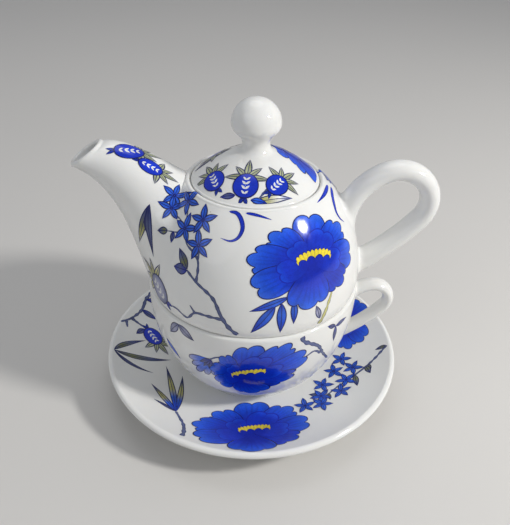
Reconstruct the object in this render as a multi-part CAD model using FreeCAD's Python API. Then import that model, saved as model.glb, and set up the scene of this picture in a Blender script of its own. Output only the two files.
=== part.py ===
# A porcelain tea set for one person: a saucer, a cup, a teapot that nests on the cup's rim, and its lid.
# Sizes are in millimetres. +Z is up and the origin is on the table, under the middle of the saucer.
# The spout points along -X and the teapot's handle along +X.
# Each piece is one clay casting. Castings that are stuck together with slip meet face to face.
import FreeCAD
import Part
import math
import os

# Saucer
SAUCER_RADIUS = 77.5
SAUCER_HEIGHT = 19.8
SAUCER_WALL = 3.4
SAUCER_FOOT_RADIUS = 44.0
SAUCER_FOOT_HEIGHT = 3.6
SAUCER_WELL_STEP = 0.8
WELL_CLEARANCE = 3.0

# Teapot body
POT_RADIUS = 52.0
POT_HEIGHT = 53.5
POT_DOME_RISE = 60.0
POT_EQUATOR = 5.5
POT_TUCK_CURVE = 12.0
POT_WALL = 3.2
POT_FLOOR = 3.6
POT_FOOT_HEIGHT = 5.5
POT_FOOT_RECESS = 3.0
MOUTH_LIP_ROUND = 0.7
MOUTH_WALL = 2.1
NEST_CLEARANCE = 1.4
RIM_SEAT_GAP = 0.3

# Cup
CUP_RIM_MARGIN = 0.3
CUP_HEIGHT = 59.2
CUP_WALL = 3.0
CUP_BRIM = 6.2
CUP_FLANK_CURVE = 75.0
CUP_BELLY_CURVE = 26.0
CUP_FOOT_RADIUS = 27.0
CUP_FOOT_HEIGHT = 3.2

# Foot rings of the saucer, cup and teapot
FOOT_RING_WIDTH = 4.0
FOOT_RING_ROUND = 1.0

# Gallery: the ledge inside the teapot's mouth that carries the lid
GALLERY_WIDTH = 3.9
GALLERY_THICKNESS = 2.6
LID_SEAT_DEPTH = 2.0

# Strainer: holes through the body's wall behind the spout
STRAINER_HOLE_RADIUS = 2.3
STRAINER_PITCH = 9.0
STRAINER_RING_HOLES = 6
STRAINER_HEIGHT = 27.0

# Lid
LID_CLEARANCE = 0.5
LID_HEIGHT = 18.8
LID_EDGE = 2.2
LID_EDGE_ROUND = 0.7
LID_WALL = 3.0
LID_BULGE_DEGREES = 10.0
LID_NECK_RADIUS = 6.3
LID_NECK_CURVE = 4.4
LID_NECK_SLOPE_DEGREES = 23.0
LID_SKIRT_DEPTH = 9.5
LID_SKIRT_WALL = 3.0
LID_SKIRT_CLEARANCE = 0.8
VENT_RADIUS = 1.5
VENT_FROM_AXIS = 16.0

# Knob
KNOB_RADIUS = 11.2
KNOB_HEIGHT = 20.4
KNOB_WAIST_PULL = 4.4

# Spout: its top and bottom lines run from inside the body to the slanted mouth
SPOUT_LENGTH = 32.1
SPOUT_LIP_HEIGHT = 58.5
SPOUT_CREST_LENGTH = 16.7
SPOUT_CREST_RISE = 14.8
SPOUT_ROOT_INSET = 1.2
SPOUT_ROOT_SINK = 4.7
SPOUT_ROOT_DROP = 4.2
SPOUT_UNDER_ROOT_PULL = (8.7, 34.0)
SPOUT_UNDER_TIP_PULL = (20.1, -8.6)
SPOUT_TOP_ROOT_PULL = (19.2, 11.6)
SPOUT_TOP_TIP_PULL = (9.2, 3.4)
SPOUT_MOUTH_WIDTH = 18.5
SPOUT_WAIST = 0.55
SPOUT_WALL = 2.7
SPOUT_LIP_ROUND = 0.6

# Teapot handle: a round loop with two legs that run to the body
POT_HANDLE_STANDOFF = 14.3
POT_HANDLE_LOOP_HEIGHT = 42.8
POT_HANDLE_LOOP_CURVE = 15.5
POT_HANDLE_UPPER_ROOT = 37.8
POT_HANDLE_LOWER_ROOT = 8.4
POT_HANDLE_UPPER_TURN = 115.0
POT_HANDLE_LOWER_TURN = -38.0
POT_HANDLE_THICKNESS = 9.4
POT_HANDLE_WIDTH = 12.0
POT_HANDLE_ROOT_SWELL = 1.7

# Cup handle, which stands under the teapot's
CUP_HANDLE_STANDOFF = 9.7
CUP_HANDLE_LOOP_HEIGHT = 45.4
CUP_HANDLE_LOOP_CURVE = 8.3
CUP_HANDLE_UPPER_ROOT = 49.5
CUP_HANDLE_LOWER_ROOT = 21.0
CUP_HANDLE_UPPER_TURN = 100.0
CUP_HANDLE_LOWER_TURN = -40.0
CUP_HANDLE_THICKNESS = 5.6
CUP_HANDLE_WIDTH = 8.6
CUP_HANDLE_ROOT_SWELL = 1.1

# How finely the handles and the spout are drawn
HANDLE_LEG_STATIONS = 4
HANDLE_LOOP_STATIONS = 7
SPOUT_SECTIONS = 9
SECTION_POINTS = 12

# Heights above the table, from the table up
DISH_Z = SAUCER_FOOT_HEIGHT + SAUCER_WALL
WELL_Z = DISH_Z - SAUCER_WELL_STEP
CUP_RIM_Z = WELL_Z + CUP_HEIGHT
LEDGE_Z = CUP_RIM_Z + RIM_SEAT_GAP
EQUATOR_Z = LEDGE_Z + POT_EQUATOR
MOUTH_Z = LEDGE_Z + POT_HEIGHT
LID_SEAT_Z = MOUTH_Z - LID_SEAT_DEPTH
NECK_Z = LID_SEAT_Z + LID_HEIGHT


def pot_radius(height):
    """Outer radius of the teapot's dome at a height above its widest ring."""
    return POT_RADIUS * math.sqrt(1 - ((height - EQUATOR_Z) / POT_DOME_RISE) ** 2)


# Distances from the axis, which follow the teapot's body
CUP_RADIUS = POT_RADIUS + CUP_RIM_MARGIN
SEAT_RADIUS = pot_radius(MOUTH_Z - MOUTH_LIP_ROUND) - MOUTH_WALL
THROAT_RADIUS = SEAT_RADIUS - GALLERY_WIDTH
LID_RADIUS = SEAT_RADIUS - LID_CLEARANCE
SPOUT_REACH = POT_RADIUS + SPOUT_LENGTH
SPOUT_CREST_REACH = POT_RADIUS + SPOUT_CREST_LENGTH
SPOUT_ROOT_WIDTH = POT_RADIUS
POT_HANDLE_LOOP_REACH = POT_RADIUS + POT_HANDLE_STANDOFF
CUP_HANDLE_LOOP_REACH = CUP_RADIUS + CUP_HANDLE_STANDOFF

AXIS = FreeCAD.Vector(0, 0, 1)
ORIGIN = FreeCAD.Vector(0, 0, 0)


def at(radius, height):
    """Point of the half-section plane."""
    return FreeCAD.Vector(radius, 0, height)


def polar(centre, radius, degrees):
    """Point of the half-section plane at an angle about a centre, from +X towards +Z."""
    angle = math.radians(degrees)
    return centre + at(radius * math.cos(angle), radius * math.sin(angle))


class Outline:
    """Closed half-section of a turned piece, drawn edge by edge and then turned about Z."""

    def __init__(self, start):
        self.start = start
        self.here = start
        self.edges = []

    def line(self, end):
        self.edges.append(Part.LineSegment(self.here, end).toShape())
        self.here = end
        return self

    def through(self, middle, end):
        self.edges.append(Part.Arc(self.here, middle, end).toShape())
        self.here = end
        return self

    def around(self, centre, end):
        """Arc of less than half a turn about a centre."""
        towards = (self.here - centre).normalize() + (end - centre).normalize()
        middle = centre + towards.normalize() * (end - centre).Length
        return self.through(middle, end)

    def ellipse(self, centre, half_width, half_height, end):
        """Stretch of an upright ellipse."""
        tall = half_height >= half_width
        side = centre + at(half_width, 0)
        top = centre + at(0, half_height)
        curve = Part.Ellipse(top, side, centre) if tall else Part.Ellipse(side, top, centre)
        first, last = sorted(curve.parameter(p) for p in (self.here, end))
        self.edges.append(Part.ArcOfEllipse(curve, first, last).toShape())
        self.here = end
        return self

    def bezier(self, first_pull, last_pull, end):
        curve = Part.BezierCurve()
        curve.setPoles([self.here, first_pull, last_pull, end])
        self.edges.append(curve.toShape())
        self.here = end
        return self

    def foot_ring(self, outer_radius, bottom, inner_top):
        """Down the outside of a foot ring, across its flat bottom and up its inside."""
        inner_radius = outer_radius - FOOT_RING_WIDTH
        turn = FOOT_RING_ROUND
        self.line(at(outer_radius, bottom + turn))
        self.around(at(outer_radius - turn, bottom + turn), at(outer_radius - turn, bottom))
        self.line(at(inner_radius + turn, bottom))
        self.around(at(inner_radius + turn, bottom + turn), at(inner_radius, bottom + turn))
        return self.line(at(inner_radius, inner_top))

    def turned(self):
        self.line(self.start)
        face = Part.Face(Part.Wire(Part.__sortEdges__(self.edges)))
        return face.revolve(ORIGIN, AXIS, 360)


def below_arc(centre, radius, across):
    """Height of the lower half of a circle at a distance from the axis."""
    return centre.z - math.sqrt(radius**2 - (across - centre.x) ** 2)


def saucer():
    """A dish on a foot ring, with a sunk well where the cup stands."""
    half_wall = SAUCER_WALL / 2
    well_radius = CUP_FOOT_RADIUS + WELL_CLEARANCE
    dish_start = well_radius + SAUCER_WELL_STEP
    lip = at(SAUCER_RADIUS - half_wall, SAUCER_HEIGHT - half_wall)
    run = lip.x - dish_start
    rise = SAUCER_HEIGHT - DISH_Z
    sweep = 2 * math.atan2(rise, run)
    curve = run / math.sin(sweep)
    centre = at(dish_start, DISH_Z - half_wall + curve)
    rim_angle = math.degrees(sweep) - 90
    outside = curve + half_wall
    ring_inside = SAUCER_FOOT_RADIUS - FOOT_RING_WIDTH

    section = Outline(at(0, WELL_Z))
    section.line(at(well_radius, WELL_Z)).line(at(dish_start, DISH_Z))
    section.around(centre, polar(centre, curve - half_wall, rim_angle))
    section.through(polar(lip, half_wall, rim_angle + 90), polar(centre, outside, rim_angle))
    section.around(centre, at(SAUCER_FOOT_RADIUS, below_arc(centre, outside, SAUCER_FOOT_RADIUS)))
    if ring_inside > dish_start:
        section.foot_ring(SAUCER_FOOT_RADIUS, 0, below_arc(centre, outside, ring_inside))
        section.around(centre, at(dish_start, SAUCER_FOOT_HEIGHT))
    else:
        section.foot_ring(SAUCER_FOOT_RADIUS, 0, SAUCER_FOOT_HEIGHT)
    section.line(at(0, SAUCER_FOOT_HEIGHT))
    return section.turned()


class CupCurves:
    """The two arcs of the cup's wall, tangent to each other, and the angle of its rim."""

    base = WELL_Z + CUP_FOOT_HEIGHT
    flank = at(CUP_RADIUS - CUP_FLANK_CURVE, CUP_RIM_Z - CUP_BRIM)
    drop = flank.z - base - CUP_BELLY_CURVE
    belly = at(
        flank.x + math.sqrt((CUP_FLANK_CURVE - CUP_BELLY_CURVE) ** 2 - drop**2),
        base + CUP_BELLY_CURVE,
    )
    join_angle = math.degrees(math.atan2(belly.z - flank.z, belly.x - flank.x))
    rim_angle = math.degrees(
        math.asin((CUP_BRIM - CUP_WALL / 2) / (CUP_FLANK_CURVE - CUP_WALL / 2))
    )
    rim_inside = polar(flank, CUP_FLANK_CURVE - CUP_WALL, rim_angle)
    rim_outside = polar(flank, CUP_FLANK_CURVE, rim_angle)

    @classmethod
    def outer_radius(cls, height):
        """Radius of the outside at a height."""
        join = polar(cls.flank, CUP_FLANK_CURVE, cls.join_angle)
        centre, curve = cls.flank, CUP_FLANK_CURVE
        if height < join.z:
            centre, curve = cls.belly, CUP_BELLY_CURVE
        return centre.x + math.sqrt(curve**2 - (height - centre.z) ** 2)


def cup_bowl():
    """A round bowl with a rolled rim, on a foot ring."""
    shape = CupCurves
    lip = polar(shape.flank, CUP_FLANK_CURVE - CUP_WALL / 2, shape.rim_angle)
    ring_inside = CUP_FOOT_RADIUS - FOOT_RING_WIDTH

    section = Outline(at(0, shape.base + CUP_WALL))
    section.line(at(shape.belly.x, shape.base + CUP_WALL))
    section.around(shape.belly, polar(shape.flank, CUP_FLANK_CURVE - CUP_WALL, shape.join_angle))
    section.around(shape.flank, shape.rim_inside)
    section.through(polar(lip, CUP_WALL / 2, shape.rim_angle + 90), shape.rim_outside)
    section.around(shape.flank, polar(shape.flank, CUP_FLANK_CURVE, shape.join_angle))
    foot_top = below_arc(shape.belly, CUP_BELLY_CURVE, CUP_FOOT_RADIUS)
    section.around(shape.belly, at(CUP_FOOT_RADIUS, foot_top))
    if ring_inside > shape.belly.x:
        section.foot_ring(
            CUP_FOOT_RADIUS, WELL_Z, below_arc(shape.belly, CUP_BELLY_CURVE, ring_inside)
        )
        section.around(shape.belly, at(shape.belly.x, shape.base))
    else:
        section.foot_ring(CUP_FOOT_RADIUS, WELL_Z, shape.base)
    section.line(at(0, shape.base))
    return section.turned()


def cup_core():
    """The cup's outer form, filled, that its handle is trimmed to."""
    shape = CupCurves
    section = Outline(at(0, shape.base))
    section.line(at(shape.belly.x, shape.base))
    section.around(shape.belly, polar(shape.flank, CUP_FLANK_CURVE, shape.join_angle))
    section.around(shape.flank, shape.rim_outside)
    section.line(at(0, shape.rim_outside.z))
    return section.turned()


def pot_ledge_radius():
    """Radius of the bottom edge that stands over the cup's rim."""
    return POT_RADIUS - POT_TUCK_CURVE + math.sqrt(POT_TUCK_CURVE**2 - POT_EQUATOR**2)


def pot_shell():
    """The dome with its gallery, its floor and a foot ring that drops inside the cup's rim."""
    equator = at(0, EQUATOR_Z)
    tuck = at(POT_RADIUS - POT_TUCK_CURVE, EQUATOR_Z)
    inner_radius = POT_RADIUS - POT_WALL
    inner_rise = POT_DOME_RISE - POT_WALL
    foot_radius = CupCurves.rim_inside.x - NEST_CLEARANCE
    foot_z = LEDGE_Z - POT_FOOT_HEIGHT
    underside_z = foot_z + POT_FOOT_RECESS
    floor_z = underside_z + POT_FLOOR
    corner = EQUATOR_Z - floor_z
    shelf_z = LID_SEAT_Z - GALLERY_THICKNESS
    shelf_radius = inner_radius * math.sqrt(1 - ((shelf_z - EQUATOR_Z) / inner_rise) ** 2)
    lip_z = MOUTH_Z - MOUTH_LIP_ROUND
    lip_radius = pot_radius(lip_z)

    section = Outline(at(0, floor_z))
    section.line(at(inner_radius - corner, floor_z))
    section.around(at(inner_radius - corner, EQUATOR_Z), at(inner_radius, EQUATOR_Z))
    section.ellipse(equator, inner_radius, inner_rise, at(shelf_radius, shelf_z))
    section.line(at(THROAT_RADIUS, shelf_z)).line(at(THROAT_RADIUS, LID_SEAT_Z))
    section.line(at(SEAT_RADIUS, LID_SEAT_Z)).line(at(SEAT_RADIUS, lip_z))
    section.through(at((SEAT_RADIUS + lip_radius) / 2, MOUTH_Z), at(lip_radius, lip_z))
    section.ellipse(equator, POT_RADIUS, POT_DOME_RISE, at(POT_RADIUS, EQUATOR_Z))
    section.around(tuck, at(pot_ledge_radius(), LEDGE_Z))
    section.line(at(foot_radius, LEDGE_Z))
    section.foot_ring(foot_radius, foot_z, underside_z)
    section.line(at(0, underside_z))
    return section.turned()


def pot_core():
    """The teapot's outer form, filled up to its mouth, that the spout and handle are trimmed to."""
    equator = at(0, EQUATOR_Z)
    section = Outline(at(0, LEDGE_Z))
    section.line(at(pot_ledge_radius(), LEDGE_Z))
    section.around(at(POT_RADIUS - POT_TUCK_CURVE, EQUATOR_Z), at(POT_RADIUS, EQUATOR_Z))
    section.ellipse(equator, POT_RADIUS, POT_DOME_RISE, at(pot_radius(MOUTH_Z), MOUTH_Z))
    section.line(at(0, MOUTH_Z))
    return section.turned()


def pot_body():
    """The shell, pierced behind the spout by a ring of strainer holes about a middle one."""
    shell = pot_shell()
    length = POT_RADIUS
    places = [(0.0, 0.0)]
    for index in range(STRAINER_RING_HOLES):
        angle = 2 * math.pi * index / STRAINER_RING_HOLES
        places.append((STRAINER_PITCH * math.cos(angle), STRAINER_PITCH * math.sin(angle)))
    for across, up in places:
        start = FreeCAD.Vector(-POT_RADIUS - length / 2, across, LEDGE_Z + STRAINER_HEIGHT + up)
        hole = Part.makeCylinder(STRAINER_HOLE_RADIUS, length, start, FreeCAD.Vector(1, 0, 0))
        shell = shell.cut(hole)
    return shell


def bezier_point(poles, share):
    """Point of a cubic curve from its four poles."""
    rest = 1 - share
    weights = (rest**3, 3 * rest**2 * share, 3 * rest * share**2, share**3)
    return sum((pole * weight for pole, weight in zip(poles, weights)), ORIGIN)


def ring(centre, half_height, half_width):
    """Closed oval about a centre, one half axis a vector in the half-section plane, the other along Y."""
    points = []
    for index in range(SECTION_POINTS):
        angle = 2 * math.pi * index / SECTION_POINTS
        side = FreeCAD.Vector(0, half_width * math.sin(angle), 0)
        points.append(centre + half_height * math.cos(angle) + side)
    curve = Part.BSplineCurve()
    curve.interpolate(Points=points, PeriodicFlag=True)
    return Part.Wire([curve.toShape()])


def spout_form(inset):
    """Loft between the spout's top and bottom lines, drawn in by a wall's thickness, mouth at the end."""
    lip = at(-SPOUT_REACH, LEDGE_Z + SPOUT_LIP_HEIGHT)
    crest = at(-SPOUT_CREST_REACH, MOUTH_Z + SPOUT_CREST_RISE)
    under_root = at(-POT_RADIUS + SPOUT_ROOT_INSET, LEDGE_Z - SPOUT_ROOT_SINK)
    top_root = at(-THROAT_RADIUS, MOUTH_Z - SPOUT_ROOT_DROP)
    under = [
        under_root,
        under_root + at(-SPOUT_UNDER_ROOT_PULL[0], SPOUT_UNDER_ROOT_PULL[1]),
        lip + at(SPOUT_UNDER_TIP_PULL[0], SPOUT_UNDER_TIP_PULL[1]),
        lip,
    ]
    top = [
        top_root,
        top_root + at(-SPOUT_TOP_ROOT_PULL[0], SPOUT_TOP_ROOT_PULL[1]),
        crest + at(SPOUT_TOP_TIP_PULL[0], SPOUT_TOP_TIP_PULL[1]),
        crest,
    ]
    sections = []
    for index in range(SPOUT_SECTIONS):
        share = index / (SPOUT_SECTIONS - 1)
        low = bezier_point(under, share)
        high = bezier_point(top, share)
        half_height = (high - low) / 2
        reach = half_height.Length
        narrowing = (1 - share) ** (1 / SPOUT_WAIST)
        width = SPOUT_MOUTH_WIDTH + (SPOUT_ROOT_WIDTH - SPOUT_MOUTH_WIDTH) * narrowing
        sections.append(
            ring((low + high) / 2, half_height * ((reach - inset) / reach), width / 2 - inset)
        )
    if inset:
        along = (crest - lip).cross(FreeCAD.Vector(0, 1, 0)).normalize()
        last = sections[-1].copy()
        last.translate(along * SPOUT_WALL)
        sections.append(last)
    return Part.makeLoft(sections, True, False)


def pot_spout():
    """A hollow horn from the body to a slanted, rounded mouth."""
    horn = spout_form(0).cut(spout_form(SPOUT_WALL))
    mouth = min(horn.Faces, key=lambda face: face.CenterOfMass.x)
    horn = horn.makeFillet(SPOUT_LIP_ROUND, mouth.Edges)
    below = Part.makeCylinder(SPOUT_REACH, CUP_HEIGHT, at(0, LEDGE_Z - CUP_HEIGHT), AXIS)
    return trimmed(horn.cut(below), pot_core())


def arc_leg(start, heading, end):
    """Centre of the arc that leaves start along heading and reaches end, and its radius with a sign."""
    side = FreeCAD.Vector(-heading.z, 0, heading.x)
    chord = end - start
    radius = chord.Length**2 / (2 * chord.dot(side))
    return start + side * radius, radius


def handle_stations(loop, curve, upper_turn, lower_turn, upper_root, lower_root):
    """Places and headings along a handle, from its upper root round the loop to its lower root."""
    stations = []

    def leg(turn, root, forward):
        start = polar(loop, curve, turn)
        spin = 1 if forward else -1
        angle = math.radians(turn)
        heading = at(-math.sin(angle), math.cos(angle)) * spin
        centre, radius = arc_leg(start, heading, root)
        spoke = start - centre
        chord_angle = math.acos(max(-1, min(1, heading.dot((root - start).normalize()))))
        sweep = 2 * chord_angle * (1 if radius > 0 else -1)
        places = []
        buried = 1 + curve / (2 * (root - start).Length)
        for index in range(1, HANDLE_LEG_STATIONS + 2):
            share = min(index / HANDLE_LEG_STATIONS, buried)
            turned = FreeCAD.Rotation(FreeCAD.Vector(0, -1, 0), math.degrees(sweep * share))
            places.append((centre + turned.multVec(spoke), turned.multVec(heading)))
        return places

    upper = leg(upper_turn, upper_root, True)
    for place, heading in reversed(upper):
        stations.append((place, heading * -1))
    for index in range(HANDLE_LOOP_STATIONS):
        share = index / (HANDLE_LOOP_STATIONS - 1)
        turn = upper_turn + (lower_turn - upper_turn) * share
        angle = math.radians(turn)
        stations.append((polar(loop, curve, turn), at(math.sin(angle), -math.cos(angle))))
    stations.extend(leg(lower_turn, lower_root, False))
    return stations


def handle_form(stations, thickness, width, swell):
    """Loft of ovals along a handle, thicker where the slip gathers at both roots."""
    last = len(stations) - 1
    sections = []
    for index, (place, heading) in enumerate(stations):
        from_root = min(index, last - index) / HANDLE_LEG_STATIONS
        extra = swell * max(0, 1 - from_root)
        across = FreeCAD.Vector(-heading.z, 0, heading.x)
        sections.append(ring(place, across * ((thickness + extra) / 2), (width + extra) / 2))
    return Part.makeLoft(sections, True, False)


def trimmed(form, core):
    """The part of a handle outside the piece that it is stuck to."""
    return max(form.cut(core).Solids, key=lambda solid: solid.Volume)


def pot_handle():
    upper_z = LEDGE_Z + POT_HANDLE_UPPER_ROOT
    lower_z = LEDGE_Z + POT_HANDLE_LOWER_ROOT
    stations = handle_stations(
        at(POT_HANDLE_LOOP_REACH, LEDGE_Z + POT_HANDLE_LOOP_HEIGHT),
        POT_HANDLE_LOOP_CURVE,
        POT_HANDLE_UPPER_TURN,
        POT_HANDLE_LOWER_TURN,
        at(pot_radius(upper_z), upper_z),
        at(pot_radius(lower_z), lower_z),
    )
    form = handle_form(
        stations, POT_HANDLE_THICKNESS, POT_HANDLE_WIDTH, POT_HANDLE_ROOT_SWELL
    )
    return trimmed(form, pot_core())


def cup_handle():
    upper_z = WELL_Z + CUP_HANDLE_UPPER_ROOT
    lower_z = WELL_Z + CUP_HANDLE_LOWER_ROOT
    stations = handle_stations(
        at(CUP_HANDLE_LOOP_REACH, WELL_Z + CUP_HANDLE_LOOP_HEIGHT),
        CUP_HANDLE_LOOP_CURVE,
        CUP_HANDLE_UPPER_TURN,
        CUP_HANDLE_LOWER_TURN,
        at(CupCurves.outer_radius(upper_z), upper_z),
        at(CupCurves.outer_radius(lower_z), lower_z),
    )
    form = handle_form(
        stations, CUP_HANDLE_THICKNESS, CUP_HANDLE_WIDTH, CUP_HANDLE_ROOT_SWELL
    )
    return trimmed(form, cup_core())


def lid_cap():
    """A bell-shaped cap with a skirt that drops into the throat, and a small steam vent."""
    edge_top = at(LID_RADIUS - LID_EDGE_ROUND, LID_SEAT_Z + LID_EDGE)
    slope = math.radians(LID_NECK_SLOPE_DEGREES)
    neck = at(LID_NECK_RADIUS, NECK_Z)
    flare = at(LID_NECK_RADIUS + LID_NECK_CURVE, NECK_Z)
    shoulder = flare - at(math.sin(slope), math.cos(slope)) * LID_NECK_CURVE
    chord = shoulder - edge_top
    bulge = math.radians(LID_BULGE_DEGREES)
    dome_curve = chord.Length / (2 * math.sin(bulge))
    inward = at(-chord.z, chord.x).normalize()
    middle = (edge_top + shoulder) / 2
    dome = middle + inward * (dome_curve * math.cos(bulge))
    inner_curve = dome_curve - LID_WALL
    skirt_radius = THROAT_RADIUS - LID_SKIRT_CLEARANCE
    skirt_inside = skirt_radius - LID_SKIRT_WALL
    skirt_z = LID_SEAT_Z - LID_SKIRT_DEPTH
    half_skirt = LID_SKIRT_WALL / 2
    ceiling_start = at(
        skirt_inside, dome.z + math.sqrt(inner_curve**2 - (skirt_inside - dome.x) ** 2)
    )
    ceiling_end = dome + (shoulder - dome).normalize() * inner_curve

    section = Outline(at(0, NECK_Z))
    section.line(neck).around(flare, shoulder).around(dome, edge_top)
    section.through(
        polar(edge_top - at(0, LID_EDGE_ROUND), LID_EDGE_ROUND, 45),
        at(LID_RADIUS, edge_top.z - LID_EDGE_ROUND),
    )
    section.line(at(LID_RADIUS, LID_SEAT_Z)).line(at(skirt_radius, LID_SEAT_Z))
    section.line(at(skirt_radius, skirt_z + half_skirt))
    section.through(
        at(skirt_radius - half_skirt, skirt_z), at(skirt_inside, skirt_z + half_skirt)
    )
    section.line(ceiling_start).around(dome, ceiling_end).line(at(0, ceiling_end.z))
    cap = section.turned()
    vent = Part.makeCylinder(
        VENT_RADIUS, LID_HEIGHT, FreeCAD.Vector(0, VENT_FROM_AXIS, LID_SEAT_Z), AXIS
    )
    return cap.cut(vent)


def lid_knob():
    """A pear-shaped knob, narrow at the neck."""
    widest_z = NECK_Z + KNOB_HEIGHT - KNOB_RADIUS
    section = Outline(at(0, NECK_Z))
    section.line(at(LID_NECK_RADIUS, NECK_Z))
    section.bezier(
        at(LID_NECK_RADIUS, NECK_Z + KNOB_WAIST_PULL),
        at(KNOB_RADIUS, widest_z - KNOB_WAIST_PULL),
        at(KNOB_RADIUS, widest_z),
    )
    section.around(at(0, widest_z), at(0, widest_z + KNOB_RADIUS))
    return section.turned()


PIECES = {
    "saucer": saucer,
    "cup_bowl": cup_bowl,
    "cup_handle": cup_handle,
    "pot_body": pot_body,
    "pot_spout": pot_spout,
    "pot_handle": pot_handle,
    "lid_cap": lid_cap,
    "lid_knob": lid_knob,
}


def main():
    os.makedirs("parts", exist_ok=True)
    for name, make in PIECES.items():
        shape = make()
        shape.exportStep(f"parts/{name}.step")
        box = shape.BoundBox
        print(
            f"{name}: {len(shape.Solids)} solid, valid {shape.isValid()}, {shape.Volume / 1000:.1f} cm3,",
            f"x {box.XMin:.1f} {box.XMax:.1f} y {box.YMin:.1f} {box.YMax:.1f}",
            f"z {box.ZMin:.1f} {box.ZMax:.1f}",
        )


main()
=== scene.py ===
"""Looks of a porcelain tea set for one: a teapot nested on its own cup, on a saucer.

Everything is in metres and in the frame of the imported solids: +Z up, the spout along -X, the teapot's
handle along +X. Drawings of the printed ornament are flat and in millimetres until they are laid on.
"""

from __future__ import annotations

import logging
import math
from abc import ABC, abstractmethod
from dataclasses import dataclass, field
from enum import Enum
from typing import Any, Sequence

import bpy
import numpy as np
from mathutils import Matrix, Vector
from mathutils.bvhtree import BVHTree

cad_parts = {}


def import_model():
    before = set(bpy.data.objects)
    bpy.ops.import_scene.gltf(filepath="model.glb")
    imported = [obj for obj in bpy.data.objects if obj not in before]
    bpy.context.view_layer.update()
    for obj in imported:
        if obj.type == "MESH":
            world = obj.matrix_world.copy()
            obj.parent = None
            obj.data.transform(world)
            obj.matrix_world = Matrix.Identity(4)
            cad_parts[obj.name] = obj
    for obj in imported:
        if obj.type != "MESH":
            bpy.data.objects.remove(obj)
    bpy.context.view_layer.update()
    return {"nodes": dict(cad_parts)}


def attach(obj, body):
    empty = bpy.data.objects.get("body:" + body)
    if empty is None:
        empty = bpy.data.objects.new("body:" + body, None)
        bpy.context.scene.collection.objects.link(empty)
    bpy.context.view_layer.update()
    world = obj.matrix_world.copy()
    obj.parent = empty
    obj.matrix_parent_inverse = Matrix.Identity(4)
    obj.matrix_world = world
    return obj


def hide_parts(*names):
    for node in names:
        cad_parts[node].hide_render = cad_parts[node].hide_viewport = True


LOG = logging.getLogger("tea_set")
MM = 0.001
TINT = "tint"
LAYER = "layer"
STACK = "stack"
AIM = "aim"
LOST = "lost"
SKY = np.array((0.0, 0.0, 1.0))
FAR = 0.3

Colour = tuple[float, float, float]
Pair = tuple[float, float]
Places = Sequence[Sequence[float]]
Socket = bpy.types.NodeSocket


class Ink(Enum):
    """Colours of the print, in linear light."""

    NAVY = (0.005, 0.009, 0.100)
    DEEP = (0.004, 0.018, 0.390)
    COBALT = (0.004, 0.029, 0.500)
    BRIGHT = (0.006, 0.070, 0.680)
    AZURE = (0.028, 0.135, 0.740)
    MILK = (0.820, 0.830, 0.820)
    OLIVE = (0.170, 0.185, 0.070)
    STRAW = (0.520, 0.500, 0.190)
    SAGE = (0.400, 0.440, 0.260)
    LEMON = (0.800, 0.640, 0.040)
    SLATE = (0.090, 0.115, 0.250)
    LILAC = (0.360, 0.370, 0.520)


class Foliage(Enum):
    """Inks along a leaf, from its root to its tip."""

    BLUE = (Ink.COBALT, Ink.AZURE, Ink.BRIGHT, Ink.COBALT)
    DARK = (Ink.DEEP, Ink.SLATE, Ink.DEEP)
    DUSK = (Ink.NAVY, Ink.SLATE, Ink.NAVY)
    SHADE = (Ink.SLATE, Ink.OLIVE, Ink.SLATE, Ink.NAVY)
    LILAC = (Ink.SLATE, Ink.LILAC, Ink.SLATE)
    LILY = (Ink.BRIGHT, Ink.BRIGHT, Ink.AZURE, Ink.STRAW, Ink.STRAW, Ink.SLATE, Ink.NAVY)
    REED = (Ink.NAVY, Ink.SLATE, Ink.OLIVE, Ink.STRAW, Ink.MILK)
    STRAW = (Ink.OLIVE, Ink.STRAW, Ink.MILK, Ink.BRIGHT)
    CROWN = (Ink.OLIVE, Ink.SAGE, Ink.SAGE, Ink.MILK)
    FADED = (Ink.SAGE, Ink.STRAW, Ink.MILK)


class Lie(Enum):
    """How a drawing lies: on an upright wall, or on a dish or top seen from above."""

    WALL = "wall"
    DISH = "dish"


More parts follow.
